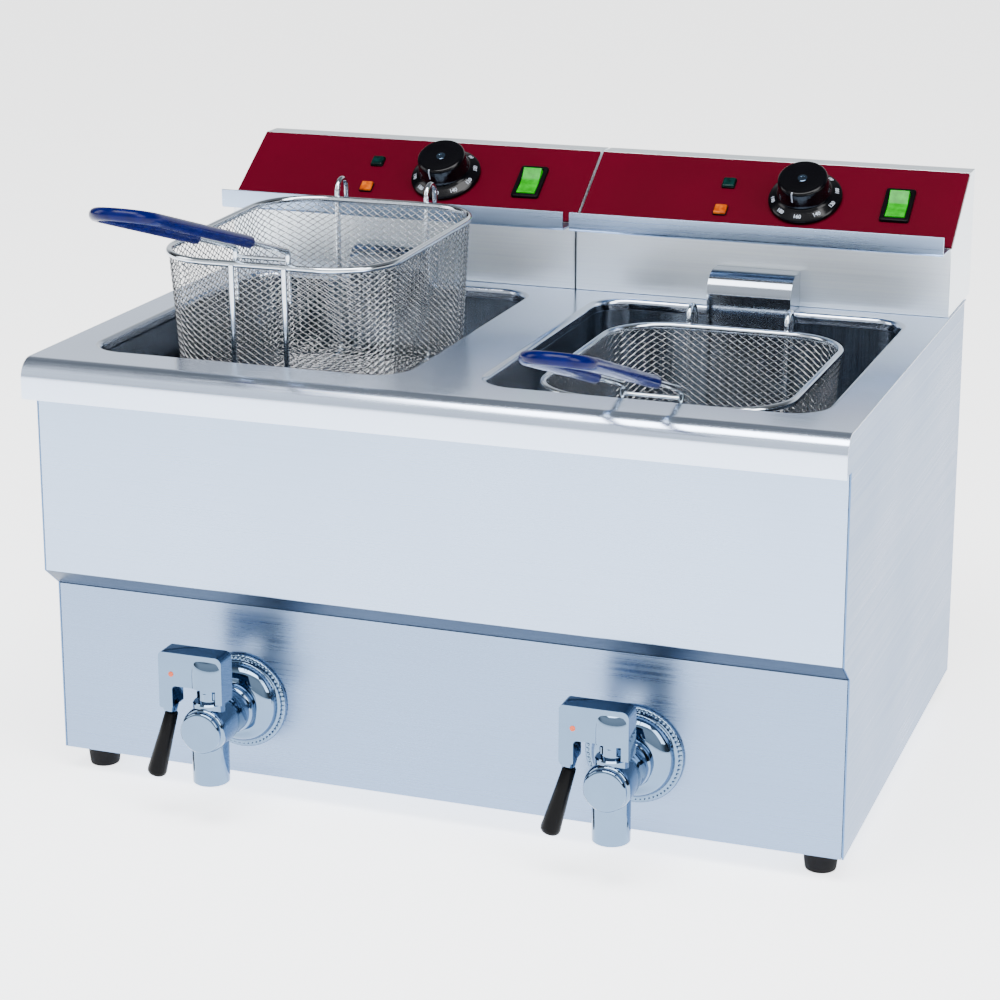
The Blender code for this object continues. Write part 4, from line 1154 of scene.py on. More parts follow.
    def build_lever(self) -> list[bpy.types.Object]:
        """Return the lever with its round boss and arm, the grip and the enamel dot."""
        body = self.side.name("lever")
        low, high, skirt = self.lever_bottom, self.lever_top, self.skirt_bottom
        rounded = arc((-31.0 * MM, high - 3.0 * MM), 3.0 * MM, 180.0, 90.0, 4)[::-1]
        crown = arc((9.0 * MM, high - 4.6 * MM), 4.6 * MM, 0.0, 90.0, 6)
        elbow = arc((-21.5 * MM, low - 2.5 * MM), 2.5 * MM, 90.0, 180.0, 4)
        block = [(8.6 * MM, low), (8.6 * MM, skirt), (13.6 * MM, skirt), *crown, *rounded,
                 *in_mm((-34.0, 13.2), (-33.2, 12.2), (-24.8, 12.2), (-24.0, 13.2)),
                 *elbow[::-1]]
        collar = in_mm((0.0, 0.0), (4.9, 0.0), (5.3, 0.5), (5.3, 5.6), (4.7, 6.2), (0.0, 6.2))
        lever = Shape().prism(block, Axis.Y, -8.5 * MM, 8.5 * MM, self.stem)
        lever.loft(self.boss_rings()).lathe(collar, 32, self.on_arm(14.0 * MM))
        grip = in_mm((0.0, 0.0), (4.2, 0.0), (4.6, 0.7), (5.3, 18.0), (6.5, 41.0),
                     (6.9, 46.6), (6.6, 48.6), (5.6, 49.7), (0.0, 50.0))
        dot = in_mm((0.0, 8.4), (1.9, 8.4), (1.9, 8.75), (1.4, 8.9), (0.0, 8.95))
        spot = (self.stem @ Matrix.Translation((-24.5 * MM, 0.0, 37.5 * MM))
                @ Matrix.Rotation(math.radians(90.0), 4, "X"))
        return [self.add(lever, "lever_block", self.palette.chrome, body, node="tap_lever",
                         slot="chrome", edge=0.8 * MM),
                self.add(Shape().lathe(grip, 40, self.on_arm(self.grip_top - 1.5 * MM)),
                         "lever_grip", self.palette.black, body, node="tap_grip",
                         slot="black_plastic"),
                self.add(Shape().lathe(dot, 24, spot), "lever_dot", self.palette.red_dot,
                         body)]

    def build(self) -> int:
        """Build the tap and return how many new pieces it has."""
        made = [self.build_flange(), self.build_body(), self.build_cap(), *self.build_lever()]
        dress(self.side.name("tap_locknut"), self.palette.brass, self.frame)
        dress(self.side.name("drain_elbow"), self.palette.tank, self.frame)
        return len(made)


# ------------------------------------------------------------------ heads

@dataclass
class Head(HalfPart):
    """Lift-out head: casing, rail, guard, element and everything on its panel."""

    lip_y: float
    half: float = 144.2 * MM
    front: float = 342.9 * MM
    rear: float = 429.0 * MM
    top: float = 414.4 * MM
    crown_depth: float = 19.4 * MM
    foot_z: float = 370.8 * MM
    seat: float = 1.8 * MM
    panel_flange: float = 6.0 * MM
    rail_front: float = 318.2 * MM
    rail_bottom: float = 367.7 * MM
    rail_top: float = 382.1 * MM
    rail_half: float = 142.5 * MM
    rail_sheet: float = 1.5 * MM
    guard_front: float = 313.0 * MM
    guard_back: float = 321.0 * MM
    guard_top: float = 344.5 * MM
    guard_foot: float = 192.0 * MM
    guard_bend: float = 17.0 * MM
    guard_half: float = 32.0 * MM
    guard_sheet: float = 1.0 * MM
    element_wire: float = 3.2 * MM
    lanes: tuple[float, float, float] = (18.0 * MM, 54.0 * MM, 90.0 * MM)
    lane_ends: tuple[float, float] = (92.0 * MM, 268.0 * MM)
    element_cross: float = 64.0 * MM
    element_corner: float = 14.0 * MM
    riser_depth: float = 317.5 * MM
    entry_rise: float = 14.0 * MM
    gland_ribs: int = 24
    lamp_x: float = -35.5 * MM
    switch_x: float = 97.0 * MM
    switch_s: float = 38.0 * MM

    def __post_init__(self) -> None:
        """Name the body, and find the panel's face."""
        self.body = self.side.name("head")
        self.face = (Matrix.Translation((self.side.middle_x, self.lip_y + self.front,
                                         self.foot_z))
                     @ Matrix.Rotation(PANEL_ANGLE, 4, "X"))

    def on_face(self, x: float, s: float, n: float = 0.0) -> Matrix:
        """Return the place at x across, s up and n out from the panel's face."""
        return self.face @ Matrix.Translation((x, s, n))

    def build_casing(self) -> bpy.types.Object:
        """Return the folded casing: one wrapped sheet and two end plates."""
        climb = math.tan(PANEL_ANGLE)
        low_y = self.front + self.seat * math.sin(PANEL_ANGLE)
        low_z = self.foot_z - self.seat * math.cos(PANEL_ANGLE)
        foot = low_z + (self.front - low_y) * climb
        crown = self.rear - self.crown_depth
        head = low_z + (crown - low_y) * climb
        run = self.panel_flange * math.cos(PANEL_ANGLE)
        rise = self.panel_flange * math.sin(PANEL_ANGLE)
        bottom = PLATE_TOP + GAP
        wrap = [(crown - run, head - rise), (crown, head), (crown, self.top),
                (self.rear, self.top), (self.rear, bottom), (self.front, bottom),
                (self.front, foot), (self.front + run, foot + rise)]
        shift = [(self.lip_y + y, z) for y, z in wrap]
        shape = Shape()
        x = self.side.middle_x
        inner = self.half - SHEET
        shape.prism(sheet_outline(shift, -SHEET), Axis.X, x - inner, x + inner)
        for low in (x - self.half, x + inner):
            shape.prism(shift[1:-1], Axis.X, low, low + SHEET)
        return self.add(shape, "casing_folded", self.palette.steel_head, self.body,
                        node="head_casing", slot="brushed_steel", edge=0.5 * MM)

    def build_rail(self) -> bpy.types.Object:
        """Return the shelf with its upturned lip."""
        lip = self.lip_y + self.rail_front
        corners = [(lip, self.rail_top), (lip, self.rail_bottom),
                   (self.lip_y + self.front - GAP, self.rail_bottom)]
        line = eased_line(corners, 2.2 * MM, 5)
        x = self.side.middle_x
        shape = Shape().prism(sheet_outline(line, self.rail_sheet), Axis.X,
                              x - self.rail_half, x + self.rail_half)
        return self.add(shape, "rail_shelf", self.palette.steel_x, self.body,
                        node="basket_rail", slot="brushed_steel", edge=0.3 * MM)

    def build_guard(self) -> bpy.types.Object:
        """Return the bent hood over the element's risers, with its two cheeks."""
        front, top, bend, foot = (self.guard_front, self.guard_top, self.guard_bend,
                                  self.guard_foot)
        sheet, half, rear = self.guard_sheet, self.guard_half, self.front - GAP
        centre = (front + bend, top - bend)
        line = [(front, foot), *arc(centre, bend, 180.0, 90.0, 20), (rear, top)]
        cheek = [(front + sheet, foot), *arc(centre, bend - sheet, 180.0, 90.0, 16),
                 (rear, top - sheet), (rear, PLATE_TOP + GAP),
                 (self.guard_back, PLATE_TOP + GAP), (self.guard_back, foot)]
        line, cheek = [[(self.lip_y + y, z) for y, z in outline] for outline in (line, cheek)]
        x = self.side.middle_x
        shape = Shape().prism(sheet_outline(line, -sheet), Axis.X, x - half, x + half)
        for low in (x - half, x + half - sheet):
            shape.prism(cheek, Axis.X, low, low + sheet)
        return self.add(shape, "guard_hood", self.palette.guard, self.body,
                        node="element_guard", slot="chrome", crease=30.0)

    def build_element(self) -> bpy.types.Object:
        """Return the tubular element: two risers and six runs."""
        low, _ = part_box(self.side.name("heating_element"))
        z = low.z + self.element_wire
        inner, middle, outer = self.lanes
        near, far = self.lane_ends
        turn, corner, cross = (middle - inner) / 2.0, self.element_corner, self.element_cross
        entry = PLATE_TOP + self.entry_rise
        half = ease_corners([(inner, self.front - GAP - MM, entry),
                             (inner, self.riser_depth, entry), (inner, self.riser_depth, z),
                             (inner, far, z)], 9.0 * MM, 6)
        half += [Vector((x, y, z)) for x, y in (
            *arc((inner + turn, near), turn, 180.0, 360.0, 14),
            *arc((middle + turn, far), turn, 180.0, 0.0, 14),
            *arc((outer - corner, cross + corner), corner, 0.0, -90.0, 8))]
        other = [Vector((-point.x, point.y, point.z)) for point in reversed(half)]
        shift = Vector((self.side.middle_x, self.lip_y, 0.0))
        path = [point + shift for point in half + other]
        return self.add(Shape().tube(path, self.element_wire, 14), "element_tube",
                        self.palette.element, self.body, node="heating_element",
                        slot="heating_tube")

    def build_gland(self) -> bpy.types.Object:
        """Return the cable gland: ribbed nut, round collar and clear bore."""
        low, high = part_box(self.side.name("cable_gland"))
        place = (Matrix.Translation(((low.x + high.x) / 2.0, self.lip_y + self.rear,
                                     (low.z + high.z) / 2.0))
                 @ Matrix.Rotation(math.radians(-90.0), 4, "X"))
        profile = [(4.0, -6.0, 0.0), (7.6, -6.0, 0.0), (8.0, -5.6, 0.0), (8.0, 0.3, 0.0),
                   (10.6, 0.3, 0.0), (11.0, 0.7, 0.0), (11.0, 4.6, 0.0), (10.5, 5.1, 0.0),
                   (9.3, 5.4, 0.3), (9.2, 10.6, 0.3), (8.6, 11.6, 0.1), (7.2, 13.6, 0.0),
                   (6.6, 14.0, 0.0), (4.6, 14.0, 0.0), (4.0, 13.4, 0.0)]

        def ribbed(radius: float, height: float, rib: float,
                   turn: float) -> tuple[float, float]:
            """Swell the nut into ribs."""
            return (radius + rib * math.cos(self.gland_ribs * turn)) * MM, height * MM

        return self.add(
            Shape().rippled(profile, 4 * self.gland_ribs, place, ribbed, closed=True),
            "gland_ribbed", self.palette.black, self.body, node="cable_gland",
            slot="black_plastic")

    def build_lamps(self) -> list[bpy.types.Object]:
        """Return the two indicator lamps: a dark bezel line and a domed lens each."""
        made = []
        for stem, s, material, slot in (("power_lamp", 51.0 * MM, self.palette.green_lens,
                                         "green_lens"),
                                        ("heating_lamp", 21.5 * MM, self.palette.orange_lens,
                                         "orange_lens")):
            place = self.on_face(self.lamp_x, s)
            lens = Shape().cushion(4.7 * MM, 4.7 * MM, 1.2 * MM, -12.0 * MM, 3.0 * MM,
                                   1.0 * MM, place)
            made.append(self.add(lens, stem + "_lens", material, self.body, node=stem,
                                 slot=slot))
            bezel = self.frame_ring(5.3 * MM, 5.3 * MM, 1.5 * MM, 4.75 * MM, 4.75 * MM,
                                    GAP, 1.6 * MM, place, 0.3 * MM)
            made.append(self.add(bezel, stem + "_bezel", self.palette.black, self.body))
        return made

    @staticmethod
    def frame_ring(half_x: float, half_y: float, radius: float, hole_x: float, hole_y: float,
                   low: float, high: float, place: Matrix, edge: float) -> Shape:
        """Shape a flat frame with round corners and a rectangular hole.

        Args:
            half_x: Half its width.
            half_y: Half its length.
            radius: Its corner radius.
            hole_x: Half the hole's width.
            hole_y: Half the hole's length.
            low: Its underside.
            high: Its top.
            place: Where it goes.
            edge: How far its upper edges are rounded.

        Returns:
            The frame's shape.
        """
        steps = 5
        inner_radius = max(radius - (half_x - hole_x), 0.4 * MM)
        rings = []
        for hx, hy, r, height in (
                (half_x, half_y, radius, low), (half_x, half_y, radius, high - edge),
                (half_x - edge * 0.3, half_y - edge * 0.3, radius, high - edge * 0.3),
                (half_x - edge, half_y - edge, radius, high),
                (hole_x + edge * 0.5, hole_y + edge * 0.5, inner_radius, high),
                (hole_x, hole_y, inner_radius, high - edge * 0.5),
                (hole_x, hole_y, inner_radius, low)):
            outline = rounded_outline(hx, -hy, hy, r, steps)
            rings.append([place @ Vector((x, y, height)) for x, y in outline])
        return Shape().loft(rings, closed=True)

    def build_switch(self) -> list[bpy.types.Object]:
        """Return the switch's frame with its pocket, and the lit rocker."""
        place = self.on_face(self.switch_x, self.switch_s)
        bezel = self.frame_ring(11.2 * MM, 17.2 * MM, 2.0 * MM, 7.8 * MM, 13.7 * MM, GAP,
                                2.8 * MM, place, 0.9 * MM)
        housing = self.frame_ring(8.9 * MM, 14.6 * MM, 0.8 * MM, 7.8 * MM, 13.7 * MM,
                                  -19.0 * MM, 1.0 * MM, place, 0.2 * MM)
        bezel.gather(housing.points, housing.faces)
        bezel.cushion(8.9 * MM, 14.6 * MM, 0.8 * MM, -20.0 * MM, -18.9 * MM, 0.1 * MM, place)
        tilted = (self.on_face(self.switch_x, self.switch_s, -1.5 * MM)
                  @ Matrix.Rotation(math.radians(7.0), 4, "X"))
        reach, wide = 12.4 * MM, 7.4 * MM
        saddle = [reach * (1.0 - 2.0 * step / 16.0) for step in range(17)]
        outline = [*in_mm((-12.9, -3.5), (12.9, -3.5), (12.6, 5.6)),
                   *[(y, (3.6 + 2.6 * abs(y / reach) ** 1.4) * MM) for y in saddle],
                   *in_mm((-12.6, 5.6))]
        return [self.add(bezel, "switch_bezel", self.palette.black, self.body,
                         node="switch_frame", slot="black_plastic"),
                self.add(Shape().prism(outline, Axis.X, -wide, wide, tilted), "rocker_lit",
                         self.palette.rocker, self.side.name("rocker"),
                         node="switch_rocker", slot="green_rocker", edge=0.5 * MM)]

    def build(self) -> int:
        """Build the head and return how many new pieces it has."""
        made = [self.build_casing(), self.build_rail(), self.build_guard(),
                self.build_element(), self.build_gland(), *self.build_lamps(),
                *self.build_switch()]
        dress(self.side.name("control_panel"), self.palette.crimson, self.frame)
        dress(self.side.name("thermostat"), self.palette.ceramic, self.frame)
        return len(made)


@dataclass
class Dial(HalfPart):
    """Thermostat knob: gloss cap, pointer, emblem disc and numbered skirt."""

    flutes: int = 36
    skirt: float = 28.0 * MM
    cap: float = 19.5 * MM
    height: float = 23.0 * MM
    labels: tuple[str, ...] = ("0", "60", "80", "100", "120", "140", "160", "180", "190")
    first_turn: float = 118.0
    step: float = -35.0
    number_radius: float = 24.4 * MM
    number_height: float = 5.45 * MM
    pointer_turn: float = math.radians(-104.0)

    def __post_init__(self) -> None:
        """Find the knob's place from its joint."""
        name = self.side.name("knob")
        joint = next(item for item in self.frame["joints"] if item["child"] == name)
        self.body = name
        self.place = (Matrix.Translation(Vector(joint["pos_m"]))
                      @ Matrix.Rotation(PANEL_ANGLE, 4, "X"))

    def build_knob(self) -> bpy.types.Object:
        """Return the knob with its bore, skirt and fine grip flutes."""
        skirt, cap, top = self.skirt, self.cap, self.height
        profile = [(0.0, 14.0 * MM, 0.0), (3.3 * MM, 14.0 * MM, 0.0),
                   (3.3 * MM, 0.6 * MM, 0.0), (skirt - 0.3 * MM, 0.6 * MM, 0.0),
                   (skirt, 1.0 * MM, 0.0), (skirt, 2.9 * MM, 0.0),
                   (skirt - 0.4 * MM, 3.6 * MM, 0.0), (skirt - 1.3 * MM, 4.2 * MM, 0.0),
                   (cap + 2.6 * MM, 6.6 * MM, 0.0), (cap + 1.0 * MM, 7.6 * MM, 0.0),
                   (cap + 0.2 * MM, 9.2 * MM, 0.0), (cap, 11.0 * MM, 0.12 * MM),
                   (cap - 0.3 * MM, 17.0 * MM, 0.12 * MM),
                   (cap - 0.5 * MM, 20.6 * MM, 0.05 * MM), (cap - 0.9 * MM, 21.9 * MM, 0.0),
                   (cap - 1.8 * MM, 22.8 * MM, 0.0), (cap - 3.0 * MM, top, 0.0),
                   (cap - 4.4 * MM, top - 0.3 * MM, 0.0), (6.0 * MM, top - 0.8 * MM, 0.0),
                   (0.0, top - 0.8 * MM, 0.0)]

        def fluted(radius: float, height: float, flute: float,
                   turn: float) -> tuple[float, float]:
            """Sink the grip flutes into the cap's side."""
            return radius - flute * (0.5 - 0.5 * math.cos(self.flutes * turn)), height

        return self.add(Shape().rippled(profile, 4 * self.flutes, self.place, fluted),
                        "knob_cap", self.palette.knob, self.body, node="thermostat_knob",
                        slot="black_plastic", crease=60.0)

    def build_marks(self) -> list[bpy.types.Object]:
        """Return the pointer, the emblem disc and the numbers on the skirt."""
        top, cap = self.height, self.cap
        disc = [(0.0, top - 1.0 * MM), (3.6 * MM, top - 1.0 * MM), (3.6 * MM, top - 0.5 * MM),
                (3.0 * MM, top - 0.3 * MM), (1.9 * MM, top - 0.3 * MM),
                (1.7 * MM, top - 0.55 * MM), (0.0, top - 0.55 * MM)]
        made = [self.add(Shape().lathe(disc, 40, self.place), "knob_emblem",
                         self.palette.chrome, self.body)]
        aim = self.place @ Matrix.Rotation(self.pointer_turn, 4, "Z")
        line = [(cap - 0.75 * MM, 14.4 * MM), (cap + 0.02 * MM, 14.4 * MM),
                (cap - 0.22 * MM, 20.4 * MM), (cap - 0.62 * MM, 21.8 * MM),
                (cap - 1.5 * MM, 22.9 * MM), (cap - 2.3 * MM, 22.9 * MM)]
        made.append(self.add(Shape().prism(line, Axis.Y, -0.55 * MM, 0.55 * MM, aim),
                             "knob_pointer", self.palette.print_white, self.body))
        made.append(self.build_numbers())
        return made

    def build_numbers(self) -> bpy.types.Object:
        """Return the raised numbers, all as one thin mesh on the skirt's slope."""
        slope = math.atan2(2.4, 4.6)
        shape = Shape()
        for index, label in enumerate(self.labels):
            text = bpy.data.curves.new("label", "FONT")
            text.body = label
            text.size = 4.1 * MM
            text.align_x = "CENTER"
            text.align_y = "CENTER"
            text.extrude = 0.12 * MM
            text.offset = 0.06 * MM
            holder = bpy.data.objects.new("label", text)
            bpy.context.scene.collection.objects.link(holder)
            bpy.context.view_layer.update()
            mesh = bpy.data.meshes.new_from_object(
                holder.evaluated_get(bpy.context.evaluated_depsgraph_get()))
            turn = math.radians(self.first_turn + self.step * index)
            place = (self.place @ Matrix.Rotation(turn, 4, "Z")
                     @ Matrix.Translation((self.number_radius, 0.0, self.number_height))
                     @ Matrix.Rotation(math.radians(90.0), 4, "Z")
                     @ Matrix.Rotation(slope, 4, "X"))
            shape.gather([place @ vert.co for vert in mesh.vertices],
                         [face.vertices for face in mesh.polygons])
            bpy.data.objects.remove(holder)
            bpy.data.curves.remove(text)
            bpy.data.meshes.remove(mesh)
        return self.add(shape, "skirt_numbers", self.palette.print_white, self.body,
                        crease=20.0)

    def build(self) -> int:
        """Build the dial and return how many new pieces it has."""
        return len([self.build_knob(), *self.build_marks()])


# ------------------------------------------------------------------ baskets

@dataclass
class Basket(HalfPart):
    """Woven wire basket with its rim, frame wires, hooks, handle and dipped grip."""

    tips: Vector
    tilt: float
    width: float = 174.0 * MM
    depth: float = 221.0 * MM
    height: float = 120.0 * MM
    corner: float = 46.0 * MM
    taper: float = 7.0 * MM
    fillet: float = 14.0 * MM
    shell: float = 1.0 * MM
    rim_wire: float = 2.5 * MM
    frame_wire: float = 2.0 * MM
    rim_z: float = 14.5 * MM
    arch: float = 9.0 * MM
    hook_spring: float = 19.5 * MM
    hook_x: float = 37.0 * MM
    bar_x: float = 20.0 * MM
    mesh_wire: float = 0.38 * MM
    crimp: float = 0.4 * MM
    columns: int = 98
    rows: int = 28
    floor_pitch: tuple[float, float] = (3.5 * MM, 2.3 * MM)
    wire_bend: float = 8.0 * MM
    cross_wire: float = 1.5 * MM
    handle_foot: float = 26.0 * MM
    handle_rise: float = 11.0 * MM
    handle_angle: float = math.radians(18.0)
    handle_length: float = 226.0 * MM
    bare: float = 62.0 * MM
    grip_radius: float = 4.3 * MM

    def __post_init__(self) -> None:
        """Name the body, and place the basket by the tips of its hooks."""
        self.body = self.side.name("basket")
        self.seat = Matrix.Translation(self.tips) @ Matrix.Rotation(self.tilt, 4, "X")
        self.back = -(2.0 * self.arch + self.frame_wire + GAP + self.shell / 2.0)
        self.front = self.back - self.depth
        self.floor = self.rim_z - self.height

    def wall_frame(self, turn: float, spread: float) -> tuple[Vector, Vector]:
        """Find a place on the basket's outline.

        Args:
            turn: How far round the outline, from 0 to 1.
            spread: How far outside the rim's outline.

        Returns:
            The point, at height 0, and the way outwards.
        """
        half = self.width / 2.0
        inner_x = half - self.corner
        low, high = self.front + self.corner, self.back - self.corner
        centres = (Vector((inner_x, high, 0.0)), Vector((-inner_x, high, 0.0)),
                   Vector((-inner_x, low, 0.0)), Vector((inner_x, low, 0.0)))
        quarter = math.pi / 2.0 * (self.corner - self.taper / 2.0)
        lengths = (high - low, quarter, 2.0 * inner_x, quarter) * 2
        left = (turn % 1.0) * sum(lengths)
        index = 0
        while index < len(lengths) - 1 and left > lengths[index]:
            left -= lengths[index]
            index += 1
        share = left / lengths[index]
        side = index // 2
        start = math.pi / 2.0 * side
        if index % 2 == 0:
            centre = centres[side - 1].lerp(centres[side], share)
            angle = start
        else:
            centre = centres[side]
            angle = start + math.pi / 2.0 * share
        way = Vector((math.cos(angle), math.sin(angle), 0.0))
        return centre + way * (self.corner + spread), way

    def wall_point(self, turn: float, down: float, lift: float) -> Vector:
        """Find a place on the woven wall.

        Args:
            turn: How far round the basket, from 0 to 1.
            down: How far from the rim down to the floor's edge, from 0 to 1.
            lift: How far outside the middle of the weave.

        Returns:
            The point in the basket's own frame.
        """
        straight = self.rim_z - (self.floor + self.fillet)
        curved = math.pi / 2.0 * self.fillet
        run = down * (straight + curved)
        if run <= straight:
            share = run / straight
            spread, height, lean = -self.taper * share, self.rim_z - run, 0.0
        else:
            lean = (run - straight) / self.fillet
            spread = -self.taper - self.fillet * (1.0 - math.cos(lean))
            height = self.floor + self.fillet * (1.0 - math.sin(lean))
        point, way = self.wall_frame(turn, spread)
        point.z = height
        return point + way * (lift * math.cos(lean)) - Vector((0.0, 0.0, lift * math.sin(lean)))

    def build_wall(self) -> bpy.types.Object:
        """Return the woven wall: two families of crimped wires that cross over and under."""
        shape = Shape()
        halves = 2 * self.rows
        samples = 2 * halves
        for lean in (1, -1):
            for start in range(self.columns):
                path = []
                for sample in range(samples + 1):
                    step = sample / 2.0
                    place = 2.0 * start + lean * step
                    lift = lean * self.crimp * math.cos(math.pi * place)
                    path.append(self.seat @ self.wall_point(place / (2.0 * self.columns),
                                                            step / halves, lift))
                shape.tube(path, self.mesh_wire, 4)
        return self.add(shape, "weave_wall", self.palette.wire, self.body,
                        node="basket_mesh", slot="woven_wire", crease=180.0)

    def build_floor(self) -> bpy.types.Object:
        """Return the woven floor, inside the edge where the wall's fillet ends."""
        inset = self.taper + self.fillet
        half = self.width / 2.0 - inset
        low, high = self.front + inset, self.back - inset
        radius = self.corner - inset
        step_x, step_y = self.floor_pitch

        def inside(x: float, y: float) -> bool:
            """Say whether a place is on the floor."""
            over_x = max(abs(x) - (half - radius), 0.0)
            over_y = max(low + radius - y, y - (high - radius), 0.0)
            return math.hypot(over_x, over_y) <= radius + 1.0 * MM

        middle = (low + high) / 2.0
        reach_y = math.ceil((high - low) / 2.0 / step_y) + 1
        reach = math.ceil(half / step_x) + reach_y + 2
        shape = Shape()
        for lean in (1, -1):
            for start in range(-reach, reach + 1):
                path = []
                for sample in range(-2 * reach_y, 2 * reach_y + 1):
                    row = sample / 2.0
                    column = 2.0 * start + lean * row
                    x, y = column * step_x, middle + row * step_y
                    if inside(x, y):
                        lift = lean * self.crimp * math.cos(math.pi * column)
                        path.append(self.seat @ Vector((x, y, self.floor + lift)))
                if len(path) > 2:
                    shape.tube(path, self.mesh_wire, 4)
        return self.add(shape, "weave_floor", self.palette.wire, self.body,
                        slot="woven_wire", crease=180.0)

    def frame_path(self, sign: float) -> Path:
        """Return one frame wire: front bar, run under the floor, rear rod and hook."""
        off = self.shell / 2.0 + GAP + self.frame_wire
        under = self.floor - off - 0.2 * MM
        front = self.front - off
        bar, hook = sign * self.bar_x, sign * self.hook_x
        rear = -2.0 * self.arch
        path = ease_corners([(bar, front, self.rim_z), (bar, front, under),
                             (hook, rear, under), (hook, rear, self.hook_spring)],
                            self.wire_bend, 8)[:-1]
        path += [Vector((hook, y, z)) for y, z in arc((-self.arch, self.hook_spring),
                                                      self.arch, 180.0, 0.0, 18)]
        return path + [Vector((hook, 0.0, 0.0))]

    def build_frame(self) -> bpy.types.Object:
        """Return the rim wire and the two frame wires that end in the hooks."""
        shape = Shape()
        outline = rounded_outline(self.width / 2.0, self.front, self.back, self.corner, 16)
        shape.tube([self.seat @ Vector((x, y, self.rim_z)) for x, y in outline],
                   self.rim_wire, 16, closed=True)
        for sign in (-1.0, 1.0):
            shape.tube([self.seat @ point for point in self.frame_path(sign)],
                       self.frame_wire, 14)
        return self.add(shape, "basket_rim", self.palette.bar, self.body,
                        node="basket_frame", slot="bright_steel", crease=60.0)

    def handle_line(self) -> tuple[Vector, Vector]:
        """Return where the handle bends out of the basket, and the way it goes."""
        inside = self.front + self.rim_wire + GAP + self.frame_wire
        bend = Vector((0.0, inside, self.rim_z + self.handle_rise))
        way = Vector((0.0, -math.cos(self.handle_angle), math.sin(self.handle_angle)))
        return bend, way

    def build_handle(self) -> list[bpy.types.Object]:
        """Return the bare handle wires with their cross wire, and the dipped loop."""
        bend, way = self.handle_line()
        foot = Vector((0.0, bend.y, self.rim_z - self.handle_foot))
        start = bend + way * self.bare
        across = Vector((self.bar_x, 0.0, 0.0))
        bare = Shape()
        for offset in (-across, across):
            path = ease_corners([foot + offset, bend + offset, start + offset], 5.0 * MM, 8)
            bare.tube([self.seat @ point for point in path], self.frame_wire, 14)
        cross_z = self.rim_z + self.rim_wire + 2.0 * GAP + self.cross_wire
        low = Vector((0.0, bend.y, cross_z))
        bare.tube([self.seat @ (low - across), self.seat @ (low + across)],
                  self.cross_wire, 12)
        first = start + way * GAP
        end = bend + way * (self.handle_length - self.bar_x - self.grip_radius)
        leg = [first.lerp(end, share) for share in
               (0.0, 0.003, 0.008, 0.014, 0.03, 0.2, 0.4, 0.6, 0.8, 1.0)]
        path = [point - across for point in leg]
        for step in range(1, 20):
            turn = math.pi * step / 20
            path.append(end - across * math.cos(turn) + way * (self.bar_x * math.sin(turn)))
        path += [point + across for point in reversed(leg)]
        swell = [0.5, 0.78, 0.93, 1.0, 1.0]
        radii = [self.grip_radius] * len(path)
        for index, share in enumerate(swell):
            radii[index] = radii[-1 - index] = self.grip_radius * share
        grip = Shape().tube([self.seat @ point for point in path], self.grip_radius, 20,
                            radii=radii)
        return [self.add(bare, "handle_wires", self.palette.bar, self.body,
                         node="handle_wire", slot="bright_steel", crease=60.0),
                self.add(grip, "grip_dipped", self.palette.vinyl, self.body,
                         node="handle_grip", slot="navy_vinyl", crease=70.0)]

    def build(self) -> int:
        """Build the basket and return how many new pieces it has."""
        return len([self.build_wall(), self.build_floor(), self.build_frame(),
                    *self.build_handle()])


# ------------------------------------------------------------------ studio

